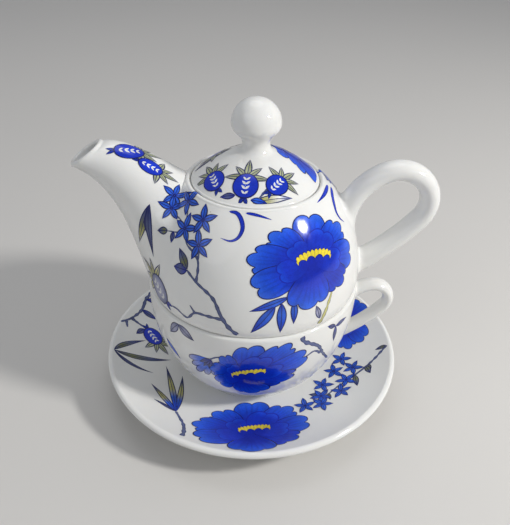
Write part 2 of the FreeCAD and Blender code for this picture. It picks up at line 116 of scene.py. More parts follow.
class Graph:
    """Adds nodes to a node tree and links them."""

    def __init__(self, tree: bpy.types.NodeTree) -> None:
        """Keeps the tree."""
        self.tree = tree

    def add(self, kind: str, inputs: dict[Any, Any] | None = None, **settings: Any) -> bpy.types.Node:
        """Adds one node.

        Args:
            kind: The node's type name.
            inputs: Values for its sockets, or other nodes' sockets to link to them.
            settings: The node's own settings.

        Returns:
            The new node.
        """
        node = self.tree.nodes.new(kind)
        for name, value in settings.items():
            setattr(node, name, value)
        for name, value in (inputs or {}).items():
            if isinstance(value, bpy.types.NodeSocket):
                self.tree.links.new(value, node.inputs[name])
            else:
                node.inputs[name].default_value = value
        return node

    def math(self, operation: str, *values: Any) -> Socket:
        """Adds a Math node and returns its result."""
        return self.add("ShaderNodeMath", dict(enumerate(values)), operation=operation).outputs[0]

    def between(self, value: Socket, low: float, high: float, start: float, end: float) -> Socket:
        """Maps a value from low..high to start..end, clamped, and returns the result."""
        limits = {0: value, 1: low, 2: high, 3: start, 4: end}
        return self.add("ShaderNodeMapRange", limits).outputs[0]

    def mix(self, share: Any, first: Any, second: Any, blend: str = "MIX") -> Socket:
        """Mixes two colours and returns the result."""
        inputs = {0: share, 6: first, 7: second}
        return self.add("ShaderNodeMix", inputs, data_type="RGBA", blend_type=blend).outputs[2]

    def read(self, name: str, kind: str) -> Socket:
        """Reads a named attribute of the geometry."""
        return self.add("GeometryNodeInputNamedAttribute", {"Name": name}, data_type=kind).outputs[0]

    def store(self, geometry: Socket, name: str, value: Socket, kind: str, domain: str = "POINT") -> Socket:
        """Stores a named attribute and returns the geometry."""
        inputs = {"Geometry": geometry, "Name": name, "Value": value}
        return self.add("GeometryNodeStoreNamedAttribute", inputs, data_type=kind, domain=domain).outputs[0]

    def turned(self, angle: Socket) -> Socket:
        """The rotation of an instance by an angle about Z."""
        euler = self.add("ShaderNodeCombineXYZ", {"Z": angle}).outputs[0]
        return self.add("FunctionNodeEulerToRotation", {0: euler}).outputs[0]


def opaque(colour: Sequence[float]) -> tuple[float, float, float, float]:
    """A colour with full alpha."""
    return (colour[0], colour[1], colour[2], 1.0)


@dataclass(frozen=True)
class Waves:
    """Low waves of a surface: how many to a metre, how strong, how high and how broken up."""

    scale: float
    strength: float
    height: float
    detail: float = 1.0


class Surface:
    """Base of the finishes: a material with Object coordinates, noises and a Principled shader."""

    def __init__(self, name: str) -> None:
        """Starts an empty material.

        Args:
            name: The material's name.
        """
        self.material = bpy.data.materials.new(name)
        self.material.use_nodes = True
        self.material.node_tree.nodes.clear()
        self.graph = Graph(self.material.node_tree)
        self.place = self.graph.add("ShaderNodeTexCoord").outputs["Object"]

    def noise(self, scale: float, detail: float = 2.0) -> Socket:
        """Soft noise with about that many bumps to a metre."""
        inputs = {"Vector": self.place, "Scale": scale, "Detail": detail}
        return self.graph.add("ShaderNodeTexNoise", inputs).outputs[0]

    def uneven(self, scale: float, reach: Pair, ends: Pair, detail: float = 2.0) -> Socket:
        """A value that wanders between two ends.

        Args:
            scale: How many bumps it has to a metre.
            reach: The noise at which it gets to each end.
            ends: Its least and most.
            detail: How broken up it is.

        Returns:
            The value.
        """
        return self.graph.between(self.noise(scale, detail), *reach, *ends)

    def wavy(self, waves: Waves, under: Socket | None = None) -> Socket:
        """A normal bumped by waves.

        Args:
            waves: The waves.
            under: A normal that they come on top of, if any.

        Returns:
            The normal.
        """
        inputs = {"Height": self.noise(waves.scale, waves.detail), "Strength": waves.strength,
                  "Distance": waves.height}
        if under is not None:
            inputs["Normal"] = under
        return self.graph.add("ShaderNodeBump", inputs).outputs[0]

    def finish(self, **inputs: Any) -> bpy.types.Material:
        """Closes the material with a Principled shader.

        Args:
            inputs: The shader's inputs, with _ for each space in their names.

        Returns:
            The material.
        """
        named = {name.replace("_", " "): value for name, value in inputs.items()}
        shader = self.graph.add("ShaderNodeBsdfPrincipled", named)
        self.graph.add("ShaderNodeOutputMaterial", {"Surface": shader.outputs[0]})
        return self.material


SWELL = Waves(46.0, 0.16, 0.8 * MM)


@dataclass(frozen=True)
class Glaze:
    """White glaze over porcelain, wiped off the ring that the piece was fired on.

    Scales are bumps to a metre.
    """

    name: str
    bare_below: float
    warm: Colour = (0.800, 0.795, 0.765)
    cool: Colour = (0.770, 0.780, 0.775)
    mottle_scale: float = 24.0
    biscuit: Colour = (0.700, 0.650, 0.570)
    biscuit_roughness: float = 0.62
    edge_scale: float = 500.0
    edge_rag: float = 0.5 * MM
    edge_soft: float = 0.25 * MM
    pinhole: Colour = (0.36, 0.31, 0.24)
    pinhole_scale: float = 160.0
    pinhole_size: float = 0.045
    pinhole_share: float = 0.03
    pinhole_depth: float = 0.55
    sheen_scale: float = 70.0
    sheen: Pair = (0.045, 0.095)
    sheen_reach: Pair = (0.35, 0.65)
    peel: Waves = Waves(520.0, 0.035, 0.2 * MM)
    ior: float = 1.52
    glow: float = 0.12
    glow_radius: Colour = (1.0, 0.85, 0.65)
    glow_depth: float = 1.2 * MM

    def material(self) -> bpy.types.Material:
        """Builds the glaze.

        Returns:
            The material.
        """
        surface = Surface(self.name)
        graph = surface.graph
        glazed = self._glazed(surface)
        sheen = surface.uneven(self.sheen_scale, self.sheen_reach, self.sheen)
        rough = graph.math("SUBTRACT", sheen, self.biscuit_roughness)
        rough = graph.math("ADD", graph.math("MULTIPLY", glazed, rough), self.biscuit_roughness)
        return surface.finish(
            Base_Color=graph.mix(glazed, opaque(self.biscuit), self._body(surface)),
            Roughness=rough,
            Normal=surface.wavy(self.peel, surface.wavy(SWELL)),
            IOR=self.ior,
            Subsurface_Weight=self.glow,
            Subsurface_Radius=self.glow_radius,
            Subsurface_Scale=self.glow_depth,
        )

    def _body(self, surface: Surface) -> Socket:
        """The white, a little mottled, with a rare pinhole.

        Args:
            surface: The material.

        Returns:
            Its colour.
        """
        graph = surface.graph
        white = graph.mix(surface.noise(self.mottle_scale), opaque(self.warm), opaque(self.cool))
        cells = graph.add("ShaderNodeTexVoronoi", {"Vector": surface.place, "Scale": self.pinhole_scale})
        draw = graph.add("ShaderNodeSeparateColor", {0: cells.outputs["Color"]}).outputs[0]
        rare = graph.math("LESS_THAN", draw, self.pinhole_share)
        close = graph.math("LESS_THAN", cells.outputs["Distance"], self.pinhole_size)
        speck = graph.math("MULTIPLY", close, rare)
        return graph.mix(graph.math("MULTIPLY", speck, self.pinhole_depth), white, opaque(self.pinhole))

    def _glazed(self, surface: Surface) -> Socket:
        """Where the glaze is: 0 on the wiped ring, 1 above its ragged edge.

        Args:
            surface: The material.

        Returns:
            The share of glaze.
        """
        graph = surface.graph
        height = graph.add("ShaderNodeSeparateXYZ", {0: surface.place}).outputs[2]
        ragged = graph.math("MULTIPLY_ADD", surface.noise(self.edge_scale), self.edge_rag, height)
        edge = self.bare_below + self.edge_rag / 2
        return graph.between(ragged, edge - self.edge_soft, edge + self.edge_soft, 0.0, 1.0)


@dataclass(frozen=True)
class Print:
    """Overglaze print: the ink of each point, a little uneven, under a thin gloss.

    Scales are bumps to a metre.
    """

    name: str
    reach: Pair = (0.3, 0.7)
    wash_scale: float = 130.0
    wash: Pair = (0.82, 1.14)
    grain_scale: float = 1500.0
    grain: Pair = (0.90, 1.08)
    gloss_scale: float = 260.0
    gloss: Pair = (0.09, 0.17)
    peel: Waves = Waves(900.0, 0.03, 0.15 * MM)
    ior: float = 1.5

    def material(self) -> bpy.types.Material:
        """Builds the print.

        Returns:
            The material.
        """
        surface = Surface(self.name)
        graph = surface.graph
        ink = graph.add("ShaderNodeAttribute", attribute_name=TINT).outputs["Color"]
        amount = graph.math("MULTIPLY", surface.uneven(self.wash_scale, self.reach, self.wash, 3.0),
                            surface.uneven(self.grain_scale, self.reach, self.grain, 1.0))
        grey = graph.add("ShaderNodeCombineColor", dict.fromkeys(range(3), amount)).outputs[0]
        return surface.finish(
            Base_Color=graph.mix(1.0, ink, grey, "MULTIPLY"),
            Roughness=surface.uneven(self.gloss_scale, self.reach, self.gloss),
            Normal=surface.wavy(self.peel, surface.wavy(SWELL)),
            IOR=self.ior,
        )


@dataclass(frozen=True)
class TableTop:
    """Plain pale matt floor."""

    name: str
    pale: Colour = (0.640, 0.625, 0.600)
    shade: Colour = (0.610, 0.600, 0.580)
    cloud_scale: float = 3.0
    cloud_detail: float = 4.0
    roughness: float = 0.55
    tooth: Waves = Waves(700.0, 0.05, 0.3 * MM, 2.0)

    def material(self) -> bpy.types.Material:
        """Builds the floor's material.

        Returns:
            The material.
        """
        surface = Surface(self.name)
        clouds = surface.noise(self.cloud_scale, self.cloud_detail)
        body = surface.graph.mix(clouds, opaque(self.pale), opaque(self.shade))
        return surface.finish(Base_Color=body, Roughness=self.roughness, Normal=surface.wavy(self.tooth))


def add_object(name: str, mesh: bpy.types.Mesh) -> bpy.types.Object:
    """Puts a mesh into the scene as an object.

    Args:
        name: The object's name.
        mesh: The mesh.

    Returns:
        The object.
    """
    thing = bpy.data.objects.new(name, mesh)
    bpy.context.scene.collection.objects.link(thing)
    return thing


def paint(mesh: bpy.types.Mesh, material: bpy.types.Material) -> None:
    """Makes a material the mesh's only one."""
    mesh.materials.clear()
    mesh.materials.append(material)


def add_piece(name: str, mesh: bpy.types.Mesh, material: bpy.types.Material) -> bpy.types.Object:
    """Puts a mesh into the scene as a piece with one material."""
    paint(mesh, material)
    return add_object(name, mesh)


def add_scratch(name: str, points: np.ndarray, edges: Places = (), faces: Places = ()) -> bpy.types.Object:
    """An object for the trees to work on, to be discarded after use.

    Args:
        name: Its name.
        points: Its points.
        edges: Its loose edges.
        faces: Its faces.

    Returns:
        The object.
    """
    mesh = bpy.data.meshes.new(name)
    mesh.from_pydata(points.tolist(), np.array(edges).tolist(), np.array(faces).tolist())
    return add_object(name, mesh)


def discard(scratch: bpy.types.Object) -> None:
    """Removes a scratch object and its mesh.

    Args:
        scratch: The object.
    """
    mesh = scratch.data
    bpy.data.objects.remove(scratch)
    bpy.data.meshes.remove(mesh)


def values_of(items: Any, name: str, width: int = 1, kind: type = np.float64) -> np.ndarray:
    """Reads a value from each of a mesh's items.

    Args:
        items: The items, such as its vertices.
        name: The value's name.
        width: How many numbers it has.
        kind: Their type.

    Returns:
        One row for each item, or one number if the width is 1.
    """
    flat = np.zeros(len(items) * width, dtype=kind)
    items.foreach_get(name, flat)
    return flat.reshape(-1, width) if width > 1 else flat


def grid_mesh(name: str, rows: np.ndarray, ring_rows: bool, fold: float = 70.0) -> bpy.types.Mesh:
    """A smooth mesh from rows of points that close round a tube.

    Args:
        name: The mesh's name.
        rows: Points as rows, places round the tube, coordinates.
        ring_rows: True if the last row meets the first; otherwise both ends are capped.
        fold: Degrees from which a fold stays sharp.

    Returns:
        The mesh.
    """
    count, around = rows.shape[:2]
    faces = []
    for row in range(count if ring_rows else count - 1):
        low = row * around
        high = ((row + 1) % count) * around
        for place in range(around):
            beside = (place + 1) % around
            faces.append((low + place, low + beside, high + beside, high + place))
    points = [tuple(point) for point in rows.reshape(-1, 3)]
    if not ring_rows:
        for row, flip in ((0, True), (count - 1, False)):
            middle = len(points)
            points.append(tuple(rows[row].mean(axis=0)))
            for place in range(around):
                edge = (row * around + place, row * around + (place + 1) % around)
                faces.append((edge[1], edge[0], middle) if flip else (edge[0], edge[1], middle))
    mesh = bpy.data.meshes.new(name)
    mesh.from_pydata(points, [], faces)
    mesh.shade_smooth()
    mesh.set_sharp_from_angle(angle=math.radians(fold))
    return mesh


def unit(vectors: np.ndarray) -> np.ndarray:
    """Vectors made one long."""
    return vectors / np.maximum(np.linalg.norm(vectors, axis=-1, keepdims=True), 1e-12)


def lengths_along(points: np.ndarray) -> np.ndarray:
    """Length of a line from its start to each of its points."""
    return np.concatenate(((0.0,), np.cumsum(np.linalg.norm(np.diff(points, axis=0), axis=1))))


def points_along(points: np.ndarray, distances: np.ndarray) -> np.ndarray:
    """Points of a line at distances from its start."""
    lengths = lengths_along(points)
    return np.column_stack([np.interp(distances, lengths, axis) for axis in points.T])


def cubic(poles: np.ndarray, share: np.ndarray) -> np.ndarray:
    """Points of a cubic curve.

    Args:
        poles: Its four poles.
        share: Places along it, from 0 to 1.

    Returns:
        One point for each place.
    """
    share = share[:, None]
    rest = 1 - share
    return (rest**3 * poles[0] + 3 * rest**2 * share * poles[1]
            + 3 * rest * share**2 * poles[2] + share**3 * poles[3])


def oval_lines(middle: np.ndarray, half: np.ndarray, side: np.ndarray, around: int) -> np.ndarray:
    """Lines along a tube of oval section whose middle runs in the plane of X and Z.

    Args:
        middle: Its middle at each sample, in that plane.
        half: From there to its top line, in that plane.
        side: Half its width along Y.
        around: How many lines.

    Returns:
        The lines, as places round the tube, samples, coordinates.
    """
    angle = np.linspace(0, 2 * math.pi, around, endpoint=False)[:, None]
    return np.stack((
        middle[None, :, 0] + half[None, :, 0] * np.cos(angle),
        side[None, :] * np.sin(angle),
        middle[None, :, 1] + half[None, :, 1] * np.cos(angle),
    ), axis=-1)


def in_space(middle: np.ndarray) -> np.ndarray:
    """Points of the plane of X and Z in space."""
    return np.column_stack((middle[:, 0], np.zeros(len(middle)), middle[:, 1]))


class Skin:
    """A surface to feel and to lay drawings on, joined from pieces of one body."""

    def __init__(self, *pieces: bpy.types.Object) -> None:
        """Reads the triangles and corner normals of the pieces.

        Args:
            pieces: The pieces.
        """
        points, triangles, normals = [], [], []
        start = 0
        for piece in pieces:
            mesh = piece.data
            mesh.calc_loop_triangles()
            points.append(values_of(mesh.vertices, "co", 3))
            triangles.append(values_of(mesh.loop_triangles, "vertices", 3, np.int32) + start)
            loops = values_of(mesh.loop_triangles, "loops", 3, np.int32)
            normals.append(values_of(mesh.corner_normals, "vector", 3, np.float32)[loops])
            start += len(mesh.vertices)
        self.points = np.concatenate(points)
        self.triangles = np.concatenate(triangles)
        self.normals = np.concatenate(normals)
        self.tree = BVHTree.FromPolygons(self.points.tolist(), self.triangles.tolist())

    def hit(self, start: np.ndarray, aim: np.ndarray) -> np.ndarray | None:
        """Where a ray first meets the skin, or None."""
        point = self.tree.ray_cast(Vector(start), Vector(aim))[0]
        return None if point is None else np.array(point)

    def normal_near(self, point: np.ndarray) -> np.ndarray:
        """The smooth normal of the skin at its nearest point.

        Args:
            point: Any point.

        Returns:
            The normal.
        """
        place, _, face, _ = self.tree.find_nearest(Vector(point))
        corners = self.points[self.triangles[face]]
        first, second = corners[1] - corners[0], corners[2] - corners[0]
        offset = np.array(place) - corners[0]
        dots = first @ first, first @ second, second @ second, offset @ first, offset @ second
        spread = dots[0] * dots[2] - dots[1] ** 2
        if spread < 1e-24:
            normal = self.normals[face].mean(axis=0)
        else:
            along = (dots[2] * dots[3] - dots[1] * dots[4]) / spread
            beside = (dots[0] * dots[4] - dots[1] * dots[3]) / spread
            weights = np.clip(np.array((1 - along - beside, along, beside)), 0, 1)
            normal = weights @ self.normals[face]
        return normal / max(np.linalg.norm(normal), 1e-9)

    def as_object(self, name: str) -> bpy.types.Object:
        """A scratch object of the skin."""
        return add_scratch(name, self.points, faces=self.triangles)


class Flank:
    """Outside of a turned piece: its radius at each height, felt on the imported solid."""

    samples = 300
    slope_step = 1.5 * MM

    def __init__(self, skin: Skin, low: float, high: float) -> None:
        """Feels the wall from outside.

        Args:
            skin: The piece.
            low: Height that it is felt from.
            high: Height that it is felt up to.
        """
        self.heights = np.linspace(low, high, self.samples)
        inward = np.array((0.0, 1.0, 0.0))
        hits = [skin.hit(np.array((0.0, -FAR, height)), inward) for height in self.heights]
        self.radii = np.array([np.nan if hit is None else -hit[1] for hit in hits])
        good = ~np.isnan(self.radii)
        self.heights, self.radii = self.heights[good], self.radii[good]

    def radius(self, heights: np.ndarray | float) -> np.ndarray:
        """Radius at heights, held level past the ends."""
        return np.interp(heights, self.heights, self.radii)

    def normal(self, points: np.ndarray) -> np.ndarray:
        """Outward normals of the wall.

        Args:
            points: Points on it.

        Returns:
            One normal for each point.
        """
        step = self.slope_step
        slope = (self.radius(points[:, 2] + step) - self.radius(points[:, 2] - step)) / (2 * step)
        return unit(np.column_stack((unit(points[:, :2]), -slope)))

    def onto(self, points: np.ndarray) -> np.ndarray:
        """Points moved level onto the wall."""
        heights = np.clip(points[:, 2], self.heights[0], self.heights[-1])
        return np.column_stack((unit(points[:, :2]) * self.radius(heights)[:, None], heights))


class RootBlend:
    """Slip smoothed into the corner where a spout or handle leaves a turned wall."""

    rows = 9
    clearance = 1.4
    least = 0.02
    longest = 0.45
    pull = 0.62
    look_ahead = 1.05

    def __init__(self, flank: Flank, reach: float, floor: float = 0.0, ceiling: float = 1.0) -> None:
        """Keeps what the blend follows.

        Args:
            flank: The wall.
            reach: How far the blend reaches from the corner.
            floor: Height that it stays above.
            ceiling: Height that it stays below.
        """
        self.flank = flank
        self.reach = reach
        self.floor = floor
        self.ceiling = ceiling

    def leave(self, lines: np.ndarray, centres: np.ndarray, count: int) -> np.ndarray:
        """Rows of points that start on the wall, sweep round the corner and follow the lines.

        Args:
            lines: Places round the tube, samples from inside the wall outwards, coordinates.
            centres: The tube's centre at each sample.
            count: Rows along the free stretch.

        Returns:
            Rows, places round the tube, coordinates.
        """
        samples = lines.shape[1]
        buried = np.hypot(lines[..., 0], lines[..., 1]) < self.flank.radius(lines[..., 2])
        buried |= lines[..., 2] < self.floor
        last = samples - 2 - np.argmax(buried[:, ::-1][:, 1:], axis=1)
        last = np.where(buried.any(axis=1), last, 0)
        columns = [self._column(line, centres, int(inner), count) for line, inner in zip(lines, last)]
        return np.stack(columns, axis=1)

    def _corner(self, before: np.ndarray, after: np.ndarray) -> np.ndarray:
        """Where a line comes out of the wall or the floor.

        Args:
            before: Its last point inside.
            after: Its first point outside.

        Returns:
            The point between them.
        """
        gaps = [np.hypot(*point[:2]) - self.flank.radius(point[2]) for point in (before, after)]
        if min(before[2], after[2]) < self.floor:
            share = (self.floor - before[2]) / max(after[2] - before[2], 1e-9)
        else:
            share = -gaps[0] / max(gaps[1] - gaps[0], 1e-9)
        return before + (after - before) * np.clip(share, 0, 1)

    def _column(self, line: np.ndarray, centres: np.ndarray, last: int, count: int) -> np.ndarray:
        """One place round the tube: the blend's curve, then the free stretch.

        Args:
            line: Points from inside the wall outwards.
            centres: The tube's centre at each of them.
            last: Index of the last point inside.
            count: Rows along the free stretch.

        Returns:
            The points.
        """
        corner = self._corner(line[last], line[min(last + 1, len(line) - 1)])
        free = np.vstack((corner[None], line[last + 1:]))
        length = lengths_along(free)[-1]
        room = min(corner[2] - self.floor, self.ceiling - corner[2])
        reach = self.reach * float(np.clip(room / (self.clearance * self.reach), self.least, 1.0))
        reach = min(reach, self.longest * length)
        normal = self.flank.normal(corner[None])[0]
        out = corner - centres[last]
        out = unit(out - normal * (out @ normal))
        foot = self.flank.onto((corner + out * reach)[None])[0]
        foot_normal = self.flank.normal(foot[None])[0]
        inward = unit((corner - foot) - foot_normal * ((corner - foot) @ foot_normal))
        start, ahead = points_along(free, reach * np.array((1.0, self.look_ahead)))
        pull = self.pull * reach
        poles = np.stack((foot, foot + inward * pull, start - unit(ahead - start) * pull, start))
        curve = cubic(poles, np.linspace(0, 1, self.rows))
        return np.vstack((curve, points_along(free, np.linspace(reach, length, count + 1)[1:])))


@dataclass
class Spout:
    """Hollow horn between a top and an under line, with a slanted, rounded mouth."""

    name: str
    under: Places = ((-50.8, 61.0), (-59.5, 95.0), (-64.0, 115.6), (-84.1, 124.2))
    top: Places = ((-26.0, 115.0), (-45.2, 126.6), (-59.5, 137.4), (-68.7, 134.0))
    root_width: float = 52.0 * MM
    mouth_width: float = 18.5 * MM
    taper: float = 1 / 0.55
    end: float = 0.985
    wall: float = 2.7 * MM
    blend: float = 11.0 * MM
    inner_blend: float = 0.6 * MM
    rows: int = 60
    inner_rows: int = 44
    lip_rows: int = 9
    around: int = 96
    samples: int = 500

    def lines(self, inset: float) -> tuple[np.ndarray, np.ndarray]:
        """Lines along the horn, drawn in by a wall.

        Args:
            inset: How far inside the outer face.

        Returns:
            The lines, as places round the horn by samples, and the centres of the samples.
        """
        share = np.linspace(0, self.end, self.samples)
        low = cubic(np.array(self.under) * MM, share)
        high = cubic(np.array(self.top) * MM, share)
        half = (high - low) / 2
        reach = np.linalg.norm(half, axis=1, keepdims=True)
        half = half * (reach - inset) / reach
        width = self.mouth_width + (self.root_width - self.mouth_width) * (1 - share) ** self.taper
        middle = (low + high) / 2
        return oval_lines(middle, half, width / 2 - inset, self.around), in_space(middle)

    def build(self, flank: Flank, floor: float, ceiling: float) -> bpy.types.Mesh:
        """Builds the horn onto the teapot's wall.

        Args:
            flank: The teapot's wall.
            floor: Height of the ledge that the horn is cut off at.
            ceiling: Height that the blend stays below.

        Returns:
            The closed mesh.
        """
        outer_root = RootBlend(flank, self.blend, floor, ceiling)
        inner_root = RootBlend(flank, self.inner_blend, floor, ceiling)
        skin = outer_root.leave(*self.lines(0.0), self.rows)
        channel = inner_root.leave(*self.lines(self.wall), self.inner_rows)
        outer, inner = skin[-1], channel[-1]
        middle, half = (outer + inner) / 2, (outer - inner) / 2
        forward = unit(np.cross(outer[0] - outer[self.around // 2], np.array((0.0, 1.0, 0.0))))
        if forward[0] > 0:
            forward = -forward
        bulge = forward * np.linalg.norm(half, axis=1, keepdims=True)
        angles = np.linspace(0, math.pi, self.lip_rows)[1:-1]
        lip = [middle + half * math.cos(angle) + bulge * math.sin(angle) for angle in angles]
        return grid_mesh(self.name, np.concatenate((skin, np.stack(lip), channel[::-1])), ring_rows=True)


@dataclass
class Handle:
    """Looped handle of oval section whose two legs are smoothed into the wall.

    The loop is a round bend between two turns, in degrees. A leg runs from each end of it to a root, which is
    given by its height on the wall.
    """

    name: str
    loop: Pair
    curve: float
    turns: Pair
    roots: Pair
    thickness: float
    width: float
    swell: float
    blend: float
    floor: float = 0.0
    leg_share: float = 0.28
    leg_power: float = 1.5
    buried: float = 9.0 * MM
    leg_samples: int = 160
    bend_samples: int = 200
    rows: int = 46
    around: int = 40
    samples: int = 700

    def path(self, flank: Flank) -> tuple[np.ndarray, np.ndarray, np.ndarray]:
        """The handle's middle line in its own plane.

        Args:
            flank: The wall.

        Returns:
            Points, headings and the share of root swell at each sample, from the upper root down.
        """
        roots = [np.array((flank.radius(height), height)) for height in self.roots]
        upper = self._leg(math.radians(self.turns[0]), roots[0], 1)
        lower = self._leg(math.radians(self.turns[1]), roots[1], -1)
        angle = np.radians(np.linspace(*self.turns, self.bend_samples))
        ring = np.array(self.loop) + self.curve * np.column_stack((np.cos(angle), np.sin(angle)))
        points = np.vstack((upper[::-1], ring[1:-1], lower))
        length = lengths_along(points)[-1]
        even = np.linspace(0, length, self.samples)
        points = points_along(points, even)
        heading = unit(np.gradient(points, axis=0))
        swell = np.clip(1 - np.minimum(even, length - even) / (self.leg_share * length), 0, 1)
        return points, heading, swell**self.leg_power

    def _leg(self, turn: float, root: np.ndarray, spin: int) -> np.ndarray:
        """An arc that leaves the loop on its tangent and runs past the root into the wall.

        Args:
            turn: Where it leaves the loop, in radians.
            root: The root.
            spin: Way round the loop that it leaves by: 1 against the clock, -1 with it.

        Returns:
            Its points.
        """
        start = np.array(self.loop) + self.curve * np.array((math.cos(turn), math.sin(turn)))
        heading = spin * np.array((-math.sin(turn), math.cos(turn)))
        side = np.array((-heading[1], heading[0]))
        chord = root - start
        radius = (chord @ chord) / (2 * (chord @ side))
        centre = start + side * radius
        sweep = 2 * math.acos(np.clip(heading @ unit(chord), -1, 1)) * (1 if radius > 0 else -1)
        past = 1 + self.buried / np.linalg.norm(chord)
        angle = np.linspace(0, sweep * past, self.leg_samples)
        spoke = start - centre
        return centre + np.column_stack((
            spoke[0] * np.cos(angle) - spoke[1] * np.sin(angle),
            spoke[0] * np.sin(angle) + spoke[1] * np.cos(angle),
        ))

    def build(self, flank: Flank) -> bpy.types.Mesh:
        """Builds the handle onto a turned wall.

        Args:
            flank: The wall.

        Returns:
            The closed mesh.
        """
        points, heading, swell = self.path(flank)
        across = np.column_stack((-heading[:, 1], heading[:, 0]))
        deep = (self.thickness + self.swell * swell) / 2
        side = (self.width + self.swell * swell) / 2
        lines = oval_lines(points, across * deep[:, None], side, self.around)
        centres = in_space(points)
        blend = RootBlend(flank, self.blend, self.floor)
        half = self.samples // 2
        upper = blend.leave(lines[:, :half], centres[:half], self.rows)
        lower = blend.leave(lines[:, :half - 2:-1], centres[:half - 2:-1], self.rows)
        return grid_mesh(self.name, np.concatenate((upper, lower[-2::-1])), ring_rows=False)


def ink_of(ink: Ink) -> np.ndarray:
    """An ink's colour as an array."""
    return np.array(ink.value)


def blend_inks(inks: Sequence[Ink], share: np.ndarray) -> np.ndarray:
    """Colours along a run of inks.

    Args:
        inks: The inks, evenly spaced from 0 to 1.
        share: Places along the run.

    Returns:
        One colour for each place.
    """
    stops = np.linspace(0, 1, len(inks))
    table = np.array([ink.value for ink in inks])
    return np.stack([np.interp(share, stops, table[:, axis]) for axis in range(3)], axis=-1)


class Drawing:
    """Flat drawing in millimetres, y upwards: quads with an ink and a layer at each point."""

    def __init__(self) -> None:
        """Starts empty."""
        self.points = np.zeros((0, 2))
        self.inks = np.zeros((0, 3))
        self.layers = np.zeros(0)
        self.quads = np.zeros((0, 4), dtype=np.int64)

    def grid(self, points: np.ndarray, inks: np.ndarray, layer: float) -> Drawing:
        """Adds a patch.

        Args:
            points: Rows, columns, coordinates.
            inks: The ink at each of them.
            layer: How far up in the stack of ink it is.

        Returns:
            The drawing itself.
        """
        rows, columns = points.shape[:2]
        inks = np.broadcast_to(inks, (rows, columns, 3))
        across, along = np.diff(points, axis=1)[:-1], np.diff(points, axis=0)[:, :-1]
        if np.sum(across[..., 0] * along[..., 1] - across[..., 1] * along[..., 0]) < 0:
            points, inks = points[:, ::-1], inks[:, ::-1]
        index = len(self.points) + np.arange(rows * columns).reshape(rows, columns)
        quads = np.stack((index[:-1, :-1], index[:-1, 1:], index[1:, 1:], index[1:, :-1]), axis=-1)
        self.points = np.concatenate((self.points, points.reshape(-1, 2)))
        self.inks = np.concatenate((self.inks, inks.reshape(-1, 3)))
        self.layers = np.concatenate((self.layers, np.full(rows * columns, layer)))
        self.quads = np.concatenate((self.quads, quads.reshape(-1, 4)))
        return self

    def add(self, other: Drawing, turn: float = 0.0, scale: Any = 1.0, shift: Sequence[float] = (0, 0),
            layer: float = 0.0) -> Drawing:
        """Adds another drawing.

        Args:
            other: What is added.
            turn: Degrees that it is turned by, from up towards the left.
            scale: Its size, or its sizes along x and y.
            shift: Where its origin goes.
            layer: Layers that it is raised by.

        Returns:
            The drawing itself.
        """
        angle = math.radians(turn)
        spin = np.array(((math.cos(angle), math.sin(angle)), (-math.sin(angle), math.cos(angle))))
        moved = (other.points * scale) @ spin + np.array(shift)
        self.quads = np.concatenate((self.quads, other.quads + len(self.points)))
        self.points = np.concatenate((self.points, moved))
        self.inks = np.concatenate((self.inks, other.inks))
        self.layers = np.concatenate((self.layers, other.layers + layer))
        return self

    def pulled(self, shift: Sequence[float], about: Sequence[float], reach: Sequence[float]) -> Drawing:
        """A copy with its middle drawn aside.

        Args:
            shift: How far.
            about: The point that moves most.
            reach: Distances from it along x and y at which nothing moves any more.

        Returns:
            The copy.
        """
        away = (self.points - np.array(about)) / np.array(reach)
        share = np.clip(1 - np.sum(away**2, axis=1, keepdims=True), 0, 1) ** 2
        copy = Drawing().add(self)
        copy.points = copy.points + np.array(shift) * share
        return copy

    def as_object(self, name: str, places: np.ndarray | None = None) -> bpy.types.Object:
        """A scratch object of the drawing.

        Args:
            name: Its name.
            places: Where its points go in space; flat, in millimetres, if left out.

        Returns:
            The object, with its ink and layer as attributes.
        """
        if places is None:
            places = np.column_stack((self.points, np.zeros(len(self.points))))
        scratch = add_scratch(name, places, faces=self.quads)
        tint = scratch.data.attributes.new(TINT, "FLOAT_COLOR", "POINT")
        tint.data.foreach_set("color", np.column_stack((self.inks, np.ones(len(self.inks)))).ravel())
        layer = scratch.data.attributes.new(LAYER, "FLOAT", "POINT")
        layer.data.foreach_set("value", self.layers)
        return scratch

    @classmethod
    def from_mesh(cls, mesh: bpy.types.Mesh) -> Drawing:
        """Reads a flat mesh back as a drawing.

        Args:
            mesh: The mesh, which is removed afterwards.

        Returns:
            The drawing.
        """
        drawing = cls()
        drawing.points = values_of(mesh.vertices, "co", 3)[:, :2]
        drawing.inks = values_of(mesh.attributes[TINT].data, "color", 4)[:, :3]
        drawing.layers = values_of(mesh.attributes[LAYER].data, "value")
        corners = values_of(mesh.loops, "vertex_index", kind=np.int32)
        drawing.quads = corners.reshape(-1, 4).astype(np.int64)
        bpy.data.meshes.remove(mesh)
        return drawing


